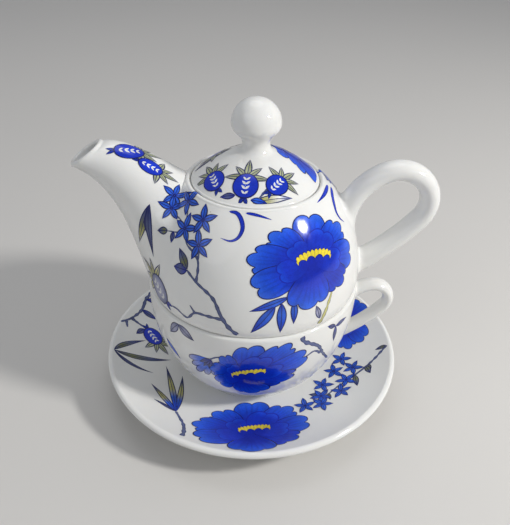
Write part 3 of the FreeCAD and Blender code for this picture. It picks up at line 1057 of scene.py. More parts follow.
class GeometryTree:
    """A Geometry Nodes tree with named inputs, run on an object and turned into a plain mesh."""

    def __init__(self, name: str) -> None:
        """Starts a tree with one geometry in and one out.

        Args:
            name: The tree's name.
        """
        self.tree = bpy.data.node_groups.new(name, "GeometryNodeTree")
        self.tree.is_modifier = True
        for way in ("INPUT", "OUTPUT"):
            self.tree.interface.new_socket("Geometry", in_out=way, socket_type="NodeSocketGeometry")
        self.graph = Graph(self.tree)
        self.inlet = self.graph.add("NodeGroupInput")

    @property
    def geometry(self) -> Socket:
        """The geometry that comes in."""
        return self.inlet.outputs["Geometry"]

    def input(self, name: str, kind: str) -> Socket:
        """Adds a named input of a kind such as Float, and returns where it comes out."""
        self.tree.interface.new_socket(name, in_out="INPUT", socket_type=f"NodeSocket{kind}")
        return self.inlet.outputs[name]

    def shape_of(self, thing: Socket) -> Socket:
        """The geometry of an object."""
        return self.graph.add("GeometryNodeObjectInfo", {"Object": thing}).outputs["Geometry"]

    def close(self, geometry: Socket, rise: Socket | None = None) -> None:
        """Ends the tree in Realize Instances and Set Material.

        Args:
            geometry: What the tree made.
            rise: Layers from each instance to the next, if they lie on top of each other.
        """
        graph = self.graph
        material = self.input("Material", "Material")
        if rise:
            index = graph.add("GeometryNodeInputIndex").outputs[0]
            geometry = graph.store(geometry, STACK, graph.math("MULTIPLY", index, rise), "FLOAT", "INSTANCE")
        geometry = graph.add("GeometryNodeRealizeInstances", {"Geometry": geometry}).outputs[0]
        if rise:
            layer = graph.math("ADD", graph.read(LAYER, "FLOAT"), graph.read(STACK, "FLOAT"))
            geometry = graph.store(geometry, LAYER, layer, "FLOAT")
        inputs = {"Geometry": geometry, "Material": material}
        painted = graph.add("GeometryNodeSetMaterial", inputs).outputs[0]
        graph.add("NodeGroupOutput", {"Geometry": painted})

    def run(self, scratch: bpy.types.Object, values: dict[str, Any]) -> bpy.types.Mesh:
        """Runs the tree on an object.

        Args:
            scratch: The object, which is discarded afterwards.
            values: The inputs by name.

        Returns:
            The plain mesh.
        """
        modifier = scratch.modifiers.new(self.tree.name, "NODES")
        modifier.node_group = self.tree
        for item in self.tree.interface.items_tree:
            if item.in_out == "INPUT" and item.name in values:
                modifier[item.identifier] = values[item.name]
        graph = bpy.context.evaluated_depsgraph_get()
        mesh = bpy.data.meshes.new_from_object(scratch.evaluated_get(graph), depsgraph=graph)
        scratch.modifiers.remove(modifier)
        discard(scratch)
        return mesh


class PetalFan(GeometryTree):
    """Copies of one petal or leaf, turned about its root."""

    def __init__(self) -> None:
        """Builds the tree."""
        super().__init__("petal_fan")
        graph = self.graph
        roots = graph.add("GeometryNodePoints", {"Count": self.input("Count", "Int")}).outputs[0]
        index = graph.add("GeometryNodeInputIndex").outputs[0]
        angle = graph.math("MULTIPLY_ADD", index, self.input("Step", "Float"), self.input("Start", "Float"))
        jitter = self.input("Jitter", "Float")
        limits = {2: graph.math("SUBTRACT", 1.0, jitter), 3: graph.math("ADD", 1.0, jitter),
                  "Seed": self.input("Seed", "Int")}
        size = graph.add("FunctionNodeRandomValue", limits, data_type="FLOAT").outputs[1]
        inputs = {"Points": roots, "Instance": self.geometry, "Rotation": graph.turned(angle), "Scale": size}
        fan = graph.add("GeometryNodeInstanceOnPoints", inputs).outputs[0]
        self.close(fan, self.input("Rise", "Float"))

    def draw(self, petal: Drawing, count: int, first: float, last: float, jitter: float = 0.0,
             rise: float = 1.0, seed: int = 1) -> Drawing:
        """Draws a fan.

        Args:
            petal: The petal, pointing up from its root at the origin.
            count: How many.
            first: Degrees of the first, from up towards the left.
            last: Degrees of the last.
            jitter: How much their sizes vary.
            rise: Layers from each to the next.
            seed: Seed of the sizes.

        Returns:
            The drawing.
        """
        step = math.radians(last - first) / max(count - 1, 1)
        values = {"Count": count, "Start": math.radians(first), "Step": step, "Jitter": jitter,
                  "Rise": rise, "Seed": seed}
        return Drawing.from_mesh(self.run(petal.as_object("petal"), values))


class LeafyStem(GeometryTree):
    """Copies of one leaf along a stem, to the left and right in turn."""

    rise = 0.3

    def __init__(self) -> None:
        """Builds the tree."""
        super().__init__("leafy_stem")
        graph = self.graph
        leaf = self.shape_of(self.input("Leaf", "Object"))
        count = self.input("Count", "Int")
        curve = graph.add("GeometryNodeMeshToCurve", {0: self.geometry}).outputs[0]
        places = graph.add("GeometryNodeCurveToPoints", {"Curve": curve, "Count": count})
        index = graph.add("GeometryNodeInputIndex").outputs[0]
        heading = graph.add("ShaderNodeSeparateXYZ", {0: places.outputs["Tangent"]})
        along = graph.math("ARCTAN2", heading.outputs[1], heading.outputs[0])
        side = graph.math("MULTIPLY_ADD", graph.math("MODULO", index, 2.0), 2.0, -1.0)
        angle = graph.math("MULTIPLY_ADD", side, self.input("Lean", "Float"), along)
        turn = graph.turned(graph.math("SUBTRACT", angle, math.pi / 2))
        last = graph.math("MAXIMUM", graph.math("SUBTRACT", count, 1.0), 1.0)
        share = graph.math("DIVIDE", index, last)
        root_size = self.input("Root Size", "Float")
        growth = graph.math("SUBTRACT", self.input("Tip Size", "Float"), root_size)
        size = graph.math("MULTIPLY_ADD", share, growth, root_size)
        inputs = {"Points": places.outputs["Points"], "Instance": leaf, "Rotation": turn, "Scale": size}
        leaves = graph.add("GeometryNodeInstanceOnPoints", inputs).outputs[0]
        self.close(leaves, self.input("Rise", "Float"))

    def draw(self, path: np.ndarray, leaf: Drawing, count: int, lean: float, tip_size: float) -> Drawing:
        """Draws the leaves of a stem.

        Args:
            path: Points of the stem, from its root.
            leaf: The leaf, pointing up from its root at the origin.
            count: How many.
            lean: Degrees that the leaves lean away from the stem.
            tip_size: Size of the last leaf, as a share of the first.

        Returns:
            The drawing, without the stem itself.
        """
        edges = [(index, index + 1) for index in range(len(path) - 1)]
        stem = add_scratch("stem", np.column_stack((path, np.zeros(len(path)))), edges=edges)
        shape = leaf.as_object("stem_leaf")
        values = {"Leaf": shape, "Count": count, "Lean": math.radians(lean), "Root Size": 1.0,
                  "Tip Size": tip_size, "Rise": self.rise}
        drawing = Drawing.from_mesh(self.run(stem, values))
        discard(shape)
        return drawing


class LayOn(GeometryTree):
    """Lays a drawing on a surface: each point goes along its own aim until it meets the surface."""

    def __init__(self) -> None:
        """Builds the tree."""
        super().__init__("lay_on_surface")
        graph = self.graph
        target = self.shape_of(self.input("Target", "Object"))
        aim = graph.read(AIM, "FLOAT_VECTOR")
        inputs = {"Target Geometry": target, "Ray Direction": aim, "Ray Length": self.input("Reach", "Float")}
        ray = graph.add("GeometryNodeRaycast", inputs)
        normal = ray.outputs["Hit Normal"]
        against = graph.add("ShaderNodeVectorMath", {0: normal, 1: aim}, operation="DOT_PRODUCT")
        away = graph.math("GREATER_THAN", against.outputs["Value"], self.input("Facing", "Float"))
        missed = graph.add("FunctionNodeBooleanMath", {0: ray.outputs["Is Hit"]}, operation="NOT").outputs[0]
        lost = graph.add("FunctionNodeBooleanMath", {0: missed, 1: away}, operation="OR").outputs[0]
        flagged = graph.store(self.geometry, LOST, lost, "BOOLEAN")
        height = graph.math("MULTIPLY_ADD", graph.read(LAYER, "FLOAT"), self.input("Layer Step", "Float"),
                            self.input("Lift", "Float"))
        up = graph.add("ShaderNodeVectorMath", {0: normal, "Scale": height}, operation="SCALE").outputs[0]
        place = graph.add("ShaderNodeVectorMath", {0: ray.outputs["Hit Position"], 1: up}).outputs[0]
        laid = graph.add("GeometryNodeSetPosition", {"Geometry": flagged, "Position": place}).outputs[0]
        inputs = {"Geometry": laid, "Selection": graph.read(LOST, "BOOLEAN")}
        self.close(graph.add("GeometryNodeDeleteGeometry", inputs, domain="POINT").outputs[0])


class Brush:
    """Shapes that the ornament is drawn with, in millimetres, pointing up from the origin."""

    outline = 0.46
    crisp = 0.06

    @classmethod
    def petal(cls, length: float, spread: float, lobes: int, inks: Sequence[Ink], veins: int = 7,
              edge: Ink = Ink.NAVY) -> Drawing:
        """A broad petal with a scalloped end.

        Args:
            length: From root to end.
            spread: Half its angle, in degrees.
            lobes: Scallops of its end.
            inks: Inks from root to end.
            veins: Fine streaks across it.
            edge: Ink of its outline and streaks.

        Returns:
            The drawing.
        """
        across = np.linspace(-1, 1, 61)
        angle = np.radians(spread) * across * (1.0 - 0.12 * np.cos(across * math.pi))
        scallop = np.abs(np.sin((across + 1) * math.pi * lobes / 2)) ** 0.6
        end = length * np.clip(1 - np.abs(across) ** 3.0, 0, 1) ** 0.5 * (0.89 + 0.11 * scallop)
        slope = np.gradient(end, angle) / np.maximum(end, 0.1 * length)
        line = np.minimum(cls.outline * np.sqrt(1 + slope**2), np.minimum(0.5 * end, 0.14 * length))
        body = np.maximum(end - line, 0.02 * length)
        shares = np.linspace(0.05, 0.95, 12)
        distances = np.vstack((shares[:, None] * body, body - cls.crisp, body, np.maximum(end, body)))
        points = np.stack((-distances * np.sin(angle), distances * np.cos(angle)), axis=-1)
        share = distances / length
        colours = blend_inks(inks, np.clip(share, 0, 1))
        streak = 0.5 + 0.5 * np.cos(across * math.pi * veins + 0.9 * np.sin(across * 5.0))
        fade = np.clip(share * 2.0 - 0.5, 0, 1) * np.clip((0.95 - share) * 4.0, 0, 1)
        streak = 0.34 * (streak**4)[None, :, None] * fade[..., None]
        colours = colours * (1 - streak) + ink_of(edge) * streak
        colours[-2:] = ink_of(edge)
        return Drawing().grid(points, colours, 0.0)

    @classmethod
    def leaf(cls, length: float, width: float, inks: Sequence[Ink], bend: float = 0.0, vein: bool = True,
             edge: Ink = Ink.NAVY) -> Drawing:
        """A pointed leaf with an outline and a middle vein, one half a little darker.

        Args:
            length: From root to tip.
            width: At its widest.
            inks: Inks from root to tip.
            bend: How far its tip leans to the left, as a share of its length.
            vein: Whether it has a vein.
            edge: Ink of the outline and the vein.

        Returns:
            The drawing.
        """
        share = np.linspace(0, 1, 19)
        half = np.maximum(width / 2 * np.sin(math.pi * share**0.82) ** 0.95, 0.03)
        line = np.minimum(cls.outline, 0.45 * half)
        thin = np.minimum(0.13 if vein else 0.0, 0.2 * half)
        crisp = np.minimum(cls.crisp, 0.1 * half)
        side = [half, half - line, half - line - crisp, 0.45 * half, thin + crisp, thin]
        side[3] = np.minimum(side[3], side[2])
        side[4] = np.minimum(side[4], side[3])
        offsets = np.stack([-part for part in side] + side[::-1], axis=1)
        middle = -bend * length * share**2
        along = np.repeat((share * length)[:, None], 12, axis=1)
        points = np.stack((middle[:, None] + offsets, along), axis=-1)
        fill = blend_inks(inks, share)
        colours = np.repeat(fill[:, None, :], 12, axis=1)
        colours[:, 6:] *= 0.82
        for column in (0, 1, 10, 11) + ((5, 6) if vein else ()):
            colours[:, column] = ink_of(edge)
        return Drawing().grid(points, colours, 0.0)

    @classmethod
    def ribbon(cls, path: np.ndarray, widths: np.ndarray, ink: Ink, core: Ink | None = None) -> Drawing:
        """A stem or brush stroke along a path.

        Args:
            path: Points of its middle line.
            widths: Its width at each of them.
            ink: Ink of its edges.
            core: Ink of its middle, the same if left out.

        Returns:
            The drawing.
        """
        heading = unit(np.gradient(path, axis=0))
        side = np.column_stack((-heading[:, 1], heading[:, 0]))
        steps = np.array((-0.5, -0.22, 0.0, 0.22, 0.5))
        points = path[:, None] + side[:, None] * (widths[:, None] * steps)[..., None]
        colours = np.broadcast_to(ink_of(ink), points.shape[:2] + (3,)).copy()
        if core:
            colours[:, 1:4] = ink_of(core)
        return Drawing().grid(points, colours, 0.0)

    @classmethod
    def disc(cls, wide: float, tall: float, inks: Sequence[Ink], edge: Ink = Ink.NAVY) -> Drawing:
        """A round or oval spot with an outline.

        Args:
            wide: Half its width.
            tall: Half its height.
            inks: Inks from its middle outwards.
            edge: Ink of its outline.

        Returns:
            The drawing.
        """
        line = cls.outline / min(wide, tall)
        ends = (1 - line - cls.crisp / min(wide, tall), 1 - line, 1.0)
        shares = np.concatenate((np.array((0.03, 0.3, 0.55, 0.78)) * ends[0], ends))
        angle = np.linspace(0, 2 * math.pi, 33)
        across, up = wide * shares[:, None] * np.cos(angle), tall * shares[:, None] * np.sin(angle)
        points = np.stack((across, up), axis=-1)
        colours = np.repeat(blend_inks(inks, shares)[:, None, :], len(angle), axis=1)
        colours[-2:] = ink_of(edge)
        return Drawing().grid(points, colours, 0.0)

    @classmethod
    def twig(cls, path: np.ndarray, width: float, core: Ink = Ink.SLATE) -> Drawing:
        """A woody stem that thins towards its tip and swells at its knots.

        Args:
            path: Points of its middle line, from its root.
            width: Its width at the root.
            core: Ink of its middle.

        Returns:
            The drawing.
        """
        share = np.linspace(0, 1, len(path))
        knots = 1 + 0.3 * np.sin(share * len(path) * 0.9) * np.sin(share * 7.0 + 0.6)
        return cls.ribbon(path, width * (1 - 0.5 * share) * knots, Ink.NAVY, core)

    @classmethod
    def stroke(cls, path: np.ndarray, width: float, widest: float = 0.3) -> Drawing:
        """A brush stroke that swells and ends in a point, widest at a share of its length."""
        share = np.linspace(0, 1, len(path)) ** (math.log(0.5) / math.log(widest))
        return cls.ribbon(path, width * np.sin(math.pi * share) ** 0.8 + 0.05, Ink.NAVY, Ink.COBALT)

    @classmethod
    def stamens(cls, radius: float, depth: float, half_angle: float, teeth: int) -> Drawing:
        """A yellow arch with small teeth along its top and a few points below.

        Args:
            radius: Of its lower edge.
            depth: Its height.
            half_angle: Half its sweep, in degrees.
            teeth: Scallops along the top.

        Returns:
            The drawing.
        """
        across = np.linspace(-1, 1, 8 * teeth + 1)
        angle = np.radians(half_angle) * across
        fade = np.sqrt(np.clip(1 - across**8, 0, 1))
        top = radius + depth * fade * (0.80 + 0.20 * np.abs(np.sin(across * math.pi * teeth / 2)))
        low = radius + 0.34 * depth * np.abs(np.sin(across * math.pi * 2.0)) ** 0.8
        line = cls.outline * 0.7
        rows = np.stack((low, low + line, low + line + cls.crisp, (low + top) / 2, top - line - cls.crisp,
                         top - line, top))
        rows = np.maximum.accumulate(rows, axis=0)
        points = np.stack((-rows * np.sin(angle), rows * np.cos(angle)), axis=-1)
        colours = np.zeros(points.shape[:2] + (3,))
        inks = (Ink.NAVY, Ink.NAVY, Ink.LEMON, Ink.LEMON, Ink.LEMON, Ink.NAVY, Ink.NAVY)
        for row, ink in enumerate(inks):
            colours[row] = ink_of(ink)
        ray = 0.4 * (0.5 + 0.5 * np.cos(across * math.pi * teeth))[:, None] ** 6
        colours[2:5] = colours[2:5] * (1 - ray) + ink_of(Ink.OLIVE) * ray
        return Drawing().grid(points, colours, 0.0)


def smooth_path(stops: Places, spacing: float) -> np.ndarray:
    """A smooth line through points, in even steps.

    Args:
        stops: The points.
        spacing: Length of a step.

    Returns:
        The points of the line.
    """
    stops = np.array(stops, dtype=float)
    ends = np.vstack((2 * stops[0] - stops[1], stops, 2 * stops[-1] - stops[-2]))
    pieces = []
    share = np.linspace(0, 1, 24, endpoint=False)[:, None]
    for index in range(len(stops) - 1):
        before, first, second, after = ends[index:index + 4]
        pieces.append(0.5 * (2 * first + (second - before) * share
                             + (2 * before - 5 * first + 4 * second - after) * share**2
                             + (3 * first - before - 3 * second + after) * share**3))
    line = np.vstack(pieces + [stops[-1:]])
    length = lengths_along(line)[-1]
    return points_along(line, np.linspace(0, length, max(int(length / spacing), 6)))


class Motifs:
    """The ornament's flowers and fruit, each drawn once."""

    def __init__(self) -> None:
        """Builds the trees and draws the motifs."""
        self.fan = PetalFan()
        self.stem = LeafyStem()
        self.peony = self._peony(34)
        self.small_heart = self._peony(27)
        self.star = self._star()
        self.fruit = self._fruit((Ink.BRIGHT, Ink.COBALT, Ink.COBALT), Foliage.CROWN)
        self.dim_fruit = self._fruit((Ink.LILAC, Ink.LILAC, Ink.SLATE), Foliage.FADED)
        self.bud = self._bud()

    def _peony(self, sweep: float) -> Drawing:
        """A full peony seen a little from above, about 56 wide and 41 high.

        Args:
            sweep: Half the sweep of its stamens, in degrees.

        Returns:
            The drawing.
        """
        lit = (Ink.DEEP, Ink.DEEP, Ink.COBALT, Ink.BRIGHT, Ink.AZURE)
        dim = (Ink.DEEP, Ink.DEEP, Ink.COBALT, Ink.COBALT, Ink.BRIGHT)
        petals = (
            (-6, 25.0, 31, 2, lit),
            (40, 23.5, 30, 3, lit),
            (-50, 25.5, 29, 3, lit),
            (76, 26.5, 30, 3, lit),
            (-92, 26.0, 32, 2, lit),
            (113, 27.0, 30, 2, lit),
            (-134, 24.0, 32, 3, dim),
            (175, 25.5, 38, 3, lit),
        )
        flower = Drawing()
        for layer, (turn, length, spread, lobes, inks) in enumerate(petals):
            flower.add(Brush.petal(length, spread, lobes, inks, 2 * lobes + 3), turn, layer=layer)
        deep = (Ink.DEEP, Ink.DEEP, Ink.COBALT, Ink.COBALT, Ink.BRIGHT)
        inner = Brush.petal(15.5, 40.0, 2, deep, 5, Ink.DEEP)
        flower.add(Brush.disc(6.0, 6.0, (Ink.DEEP, Ink.DEEP), Ink.DEEP), layer=8.5)
        flower.add(self.fan.draw(inner, 4, 104, -98, 0.14, seed=9), layer=9)
        flower.add(Brush.disc(1.5, 1.5, (Ink.DEEP, Ink.DEEP), Ink.DEEP), layer=15.5)
        flower.add(Brush.stamens(13.0, 5.2, sweep, 11), shift=(1.6, -11.6), layer=16)
        return Drawing().add(flower, scale=(1.11, 0.83))

    def _star(self) -> Drawing:
        """A five-petalled blossom, about 12 across.

        Returns:
            The drawing.
        """
        point = Brush.leaf(6.6, 3.1, (Ink.BRIGHT, Ink.AZURE, Ink.BRIGHT))
        blossom = Drawing().add(self.fan.draw(point, 5, 0, 288, 0.1, rise=0.4, seed=2))
        return blossom.add(Brush.disc(0.7, 0.7, (Ink.BRIGHT, Ink.COBALT)), layer=2.4)

    def _fruit(self, flesh: Sequence[Ink], crown: Foliage) -> Drawing:
        """A round fruit with a column of pale marks and a crown of leaves, about 12 across.

        Args:
            flesh: Inks of the fruit, from its middle outwards.
            crown: Inks of the leaves.

        Returns:
            The drawing.
        """
        leaf = Brush.leaf(9.8, 3.2, crown.value)
        fruit = Drawing().add(self.fan.draw(leaf, 5, 82, -82, 0.12, rise=0.4, seed=4), shift=(0, 3.6))
        fruit.add(Brush.disc(5.7, 6.1, flesh), layer=3)
        mark = Brush.leaf(2.6, 1.1, (Ink.MILK, Ink.MILK), vein=False, edge=Ink.MILK)
        for row in range(4):
            size = 1.0 - 0.12 * abs(row - 1.5)
            for lean in (-46, 46):
                fruit.add(mark, lean, size, (0.0, row * 2.2 - 4.0), layer=4)
        tail = Brush.leaf(4.0, 1.9, (Ink.DEEP, Ink.BRIGHT))
        return fruit.add(self.fan.draw(tail, 2, 152, 208, 0.0, rise=0.3), shift=(0, -5.2))

    def _bud(self) -> Drawing:
        """A half-open bud, about 12 across.

        Returns:
            The drawing.
        """
        petal = Brush.petal(12.0, 17.0, 1, (Ink.BRIGHT, Ink.AZURE, Ink.LILAC), veins=3)
        bud = Drawing().add(self.fan.draw(petal, 5, 48, -48, 0.08, rise=0.5, seed=8))
        cup = Brush.leaf(6.5, 2.8, (Ink.DEEP, Ink.SLATE))
        return bud.add(self.fan.draw(cup, 3, 30, -30, 0.0, rise=0.3), layer=3)

    def sprig(self, path: np.ndarray, leaf: Foliage, count: int, size: float, width: float) -> Drawing:
        """A woody stem with leaves along it.

        Args:
            path: Points of the stem, from its root.
            leaf: Inks of the leaves.
            count: How many leaves.
            size: Length of the first leaf.
            width: Width of the stem at its root.

        Returns:
            The drawing.
        """
        shape = Brush.leaf(size, 0.42 * size, leaf.value, bend=0.1)
        leaves = self.stem.draw(path, shape, count, 44.0, 0.75)
        return Brush.twig(path, width).add(leaves, layer=0.6)


@dataclass
class Spot:
    """A place on a surface where a drawing goes: its point, normal, right and up."""

    point: np.ndarray
    normal: np.ndarray
    right: np.ndarray
    up: np.ndarray


class Ornament:
    """All the print of one body."""

    launch = 40 * MM
    depth = 16 * MM
    lift = 0.05 * MM
    layer_step = 0.012 * MM
    facing = -0.22
    spacing = 0.6
    wrap_limit = 1.4

    def __init__(self, name: str, skin: Skin, lie: Lie, ring: Pair | None = None) -> None:
        """Starts with nothing printed.

        Args:
            name: The piece's name.
            skin: The surface.
            lie: How its drawings lie.
            ring: If given, the print is laid straight down and cut off at these distances from the axis.
        """
        self.name = name
        self.skin = skin
        self.lie = lie
        self.ring = ring
        self.drawing = Drawing()
        self.starts: list[np.ndarray] = []
        self.aims: list[np.ndarray] = []

    def spot(self, azimuth: float, where: float, lie: Lie | None = None) -> Spot:
        """Finds a place on the surface.

        Args:
            azimuth: Degrees about the axis, from +X towards +Y.
            where: Height on a wall, or distance from the axis on a dish, in millimetres.
            lie: How the drawing lies, the body's own way if left out.

        Returns:
            The place.
        """
        angle = math.radians(azimuth)
        out = np.array((math.cos(angle), math.sin(angle), 0.0))
        if (lie or self.lie) is Lie.WALL:
            start, aim, upward = out * FAR + SKY * where * MM, -out, SKY
        else:
            start, aim, upward = out * where * MM + SKY * FAR, -SKY, -out
        point = self.skin.hit(start, aim)
        normal = self.skin.normal_near(point)
        up = unit(upward - normal * (upward @ normal))
        return Spot(point, normal, np.cross(up, normal), up)

    def line(self, stops: Places, turn: float = 0.0) -> tuple[Spot, np.ndarray]:
        """A smooth line through places of the surface, as seen flat from amid them.

        Args:
            stops: Azimuths and heights, or azimuths and distances from the axis.
            turn: Degrees that they are turned by about the axis.

        Returns:
            The place amid them, and the line in millimetres.
        """
        places = np.array(stops, dtype=float) + np.array((turn, 0.0))
        spot = self.spot(*places.mean(axis=0))
        away = np.array([self.spot(*place).point for place in places]) - spot.point
        return spot, smooth_path(np.column_stack((away @ spot.right, away @ spot.up)) / MM, self.spacing)

    def twig(self, stops: Places, width: float, turn: float = 0.0, level: float = 0.0,
             core: Ink = Ink.SLATE) -> None:
        """Puts a woody stem through places of the surface, from its root."""
        spot, path = self.line(stops, turn)
        self.put(Brush.twig(path, width, core), spot, level=level)

    def stroke(self, stops: Places, width: float, turn: float = 0.0) -> None:
        """Puts a brush stroke through places of the surface."""
        spot, path = self.line(stops, turn)
        self.put(Brush.stroke(path, width), spot)

    def leaf(self, kind: Foliage, root: Sequence[float], tip: Sequence[float], width: float,
             turn: float = 0.0, level: float = 0.0, bend: float = 0.0) -> None:
        """Puts a leaf on the surface from one place to another.

        Args:
            kind: Its inks.
            root: Azimuth and height, or azimuth and distance from the axis, of its root.
            tip: The same for its tip.
            width: At its widest.
            turn: Degrees that it is turned by about the axis.
            level: Layers that it is raised by.
            bend: How far it bows to the right on its way, as a share of its length.
        """
        spot, path = self.line((root, tip), turn)
        way = path[-1] - path[0]
        length = float(np.hypot(*way))
        lean = math.atan2(-way[0], way[1]) - math.atan(bend)
        leaf = Brush.leaf(length, width, kind.value, bend)
        self.put(Drawing().add(leaf, math.degrees(lean), shift=path[0]), spot, level=level)

    def put(self, drawing: Drawing, spot: Spot, turn: float = 0.0, scale: Any = 1.0, level: float = 0.0,
            wrap: bool = False) -> None:
        """Puts a drawing on the surface.

        Args:
            drawing: The drawing.
            spot: Where its origin goes.
            turn: Degrees that it is turned by, from up towards the left.
            scale: Its size, or its sizes along x and y.
            level: Layers that it is raised by.
            wrap: Whether its width is measured round the wall instead of straight across.
        """
        placed = Drawing().add(drawing, turn, scale, layer=level)
        flat = placed.points * MM
        if wrap:
            radius = np.hypot(spot.point[0], spot.point[1])
            angle = np.clip(flat[:, 0] / radius, -self.wrap_limit, self.wrap_limit)
            flat = np.column_stack((radius * np.sin(angle), flat[:, 1]))
        aim = -SKY if self.ring else -spot.normal
        starts = spot.point + flat[:, :1] * spot.right + flat[:, 1:] * spot.up - aim * self.launch
        if self.ring:
            reach = np.hypot(starts[:, :1], starts[:, 1:2])
            starts[:, :2] *= np.clip(reach, *self.ring) / reach
        self.drawing.add(placed)
        self.starts.append(starts)
        self.aims.append(np.broadcast_to(aim, starts.shape))

    def lay(self, tree: LayOn, material: bpy.types.Material) -> bpy.types.Object:
        """Lays all of it on the surface.

        Args:
            tree: The tree that lays it.
            material: The print.

        Returns:
            The piece.
        """
        scratch = self.drawing.as_object(self.name, np.concatenate(self.starts))
        aim = scratch.data.attributes.new(AIM, "FLOAT_VECTOR", "POINT")
        aim.data.foreach_set("vector", np.concatenate(self.aims).ravel())
        target = self.skin.as_object(f"{self.name}_target")
        values = {"Target": target, "Lift": self.lift, "Layer Step": self.layer_step,
                  "Reach": self.launch + self.depth, "Facing": self.facing, "Material": material}
        mesh = tree.run(scratch, values)
        discard(target)
        mesh.name = self.name
        for name in (AIM, LAYER, STACK, LOST):
            if name in mesh.attributes:
                mesh.attributes.remove(mesh.attributes[name])
        normals = [self.skin.normal_near(place) for place in values_of(mesh.vertices, "co", 3)]
        mesh.shade_smooth()
        mesh.normals_split_custom_set_from_vertices(normals)
        return add_piece(self.name, mesh, material)


@dataclass
class Kit:
    """What the sub-assemblies share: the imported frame, the motifs, the trees and the print."""

    nodes: dict[str, bpy.types.Object]
    motifs: Motifs
    lay_on: LayOn
    ink: bpy.types.Material

    def dress(self, node: str, material: bpy.types.Material) -> None:
        """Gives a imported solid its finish."""
        paint(self.nodes[node].data, material)
        LOG.info("%s keeps its solid, finish %s", node, material.name)

    def ride(self, piece: bpy.types.Object, body: str, *replaced: str) -> None:
        """Fixes a new piece to its body.

        Args:
            piece: The piece.
            body: The body's name.
            replaced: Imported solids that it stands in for.
        """
        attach(piece, body)
        if replaced:
            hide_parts(*replaced)
        LOG.info("%s rides on %s, %d faces", piece.name, body, len(piece.data.polygons))


class Look(ABC):
    """Base of the four loose objects: each is dressed, given its own pieces and printed on."""

    body: str

    @abstractmethod
    def build(self, kit: Kit) -> None:
        """Dresses the object and builds its pieces."""

    @abstractmethod
    def draw(self, decal: Ornament, motifs: Motifs) -> None:
        """Puts the motifs on the object's print."""

    def decorate(self, kit: Kit, skin: Skin, lie: Lie, ring: Pair | None = None) -> None:
        """Prints on a surface of the object.

        Args:
            kit: What the objects share.
            skin: The surface.
            lie: How the drawings lie on it.
            ring: Distances from the axis that the print is cut off at, if it is.
        """
        decal = Ornament(f"{self.body}_print", skin, lie, ring)
        self.draw(decal, kit.motifs)
        kit.ride(decal.lay(kit.lay_on, kit.ink), self.body)


@dataclass
class SaucerLook(Look):
    """The saucer: glaze, and print on its dish."""

    body: str = "saucer"
    glaze: Glaze = Glaze("saucer_glaze", 0.8 * MM)

    def build(self, kit: Kit) -> None:
        """Dresses the saucer and prints on it."""
        kit.dress("saucer", self.glaze.material())
        self.decorate(kit, Skin(kit.nodes["saucer"]), Lie.DISH)

    def draw(self, decal: Ornament, motifs: Motifs) -> None:
        """Puts the motifs round the dish.

        Args:
            decal: The saucer's print.
            motifs: The motifs.
        """
        low_heart = motifs.small_heart.pulled((-1, -4), (0, -6), (26, 26))
        for azimuth, distance, lean, size in ((-89, 54, 8, (1.07, 1.0)), (29, 57.5, -6, 0.86)):
            decal.put(low_heart, decal.spot(azimuth, distance), lean, size, level=3, wrap=True)
        root = (-129, 58.5)
        decal.twig(((-115.5, 73), (-116.5, 69.5), (-120, 64), (-125, 60.5), root), 2.2, level=1)
        decal.leaf(Foliage.DUSK, root, (-141.7, 62.2), 2.2, level=2, bend=0.1)
        for azimuth, distance, width in ((-152.7, 58.4, 3.4), (-167, 47.6, 3.6), (-155.5, 40.5, 3.4)):
            decal.leaf(Foliage.LILY, root, (azimuth, distance), width, level=2, bend=0.1)
        root = (-172.5, 74.5)
        decal.leaf(Foliage.SHADE, root, (-184.4, 61), 3.6, bend=-0.4)
        decal.leaf(Foliage.SHADE, root, (-173.4, 45), 3.6, bend=0.12)
        decal.leaf(Foliage.DUSK, root, (-161.8, 56), 2.6, bend=0.34)
        decal.twig(((-214, 74), (-209, 73), (-202.5, 70.6), (-195, 72), (-190, 75.5)), 2.2)
        decal.twig(((-192, 73.5), (-189, 71.5)), 1.8)
        decal.twig(((-195, 72), (-194.5, 68), (-194, 63.5)), 1.9)
        decal.put(motifs.fruit, decal.spot(-190.5, 57.5), -38, (0.9, 1.12), level=3)
        for root, tip in (((-193, 63.5), (-187.5, 66)), ((-203, 70.6), (-203, 61)), ((-209, 73), (-216, 65))):
            decal.leaf(Foliage.DARK, root, tip, 3.8, level=2)
        for turn in (0, 124):
            self.blossoms(decal, motifs, turn)

    def blossoms(self, decal: Ornament, motifs: Motifs, turn: float) -> None:
        """Puts a spray of star blossoms on the dish.

        Args:
            decal: The saucer's print.
            motifs: The motifs.
            turn: Degrees that it is turned by about the axis.
        """
        stem = ((-1, 74), (-9, 65.5), (-18, 57.5), (-28.5, 51.5), (-37, 49.5), (-52, 46.5))
        spot, path = decal.line(stem, turn)
        decal.put(motifs.sprig(path, Foliage.SHADE, 5, 6.5, 1.5), spot)
        for root, tip in (((-17, 58), (-25.5, 61.5)), ((-11, 63), (-16.5, 66)), ((-38, 48), (-43, 41.5))):
            decal.leaf(Foliage.SHADE, root, tip, 3.4, turn, 2)
        stars = ((-14.4, 46.5), (-11.2, 56.2), (-29.5, 43.8), (-21.4, 54.4), (-39.4, 47.4), (-30.7, 54.8),
                 (-52.9, 46.3), (-44.8, 51.8), (-3, 50))
        for index, (azimuth, distance) in enumerate(stars):
            place = decal.spot(turn + azimuth, distance)
            decal.put(motifs.star, place, 31 * index, 0.92, level=4 + 2 * (index % 4))


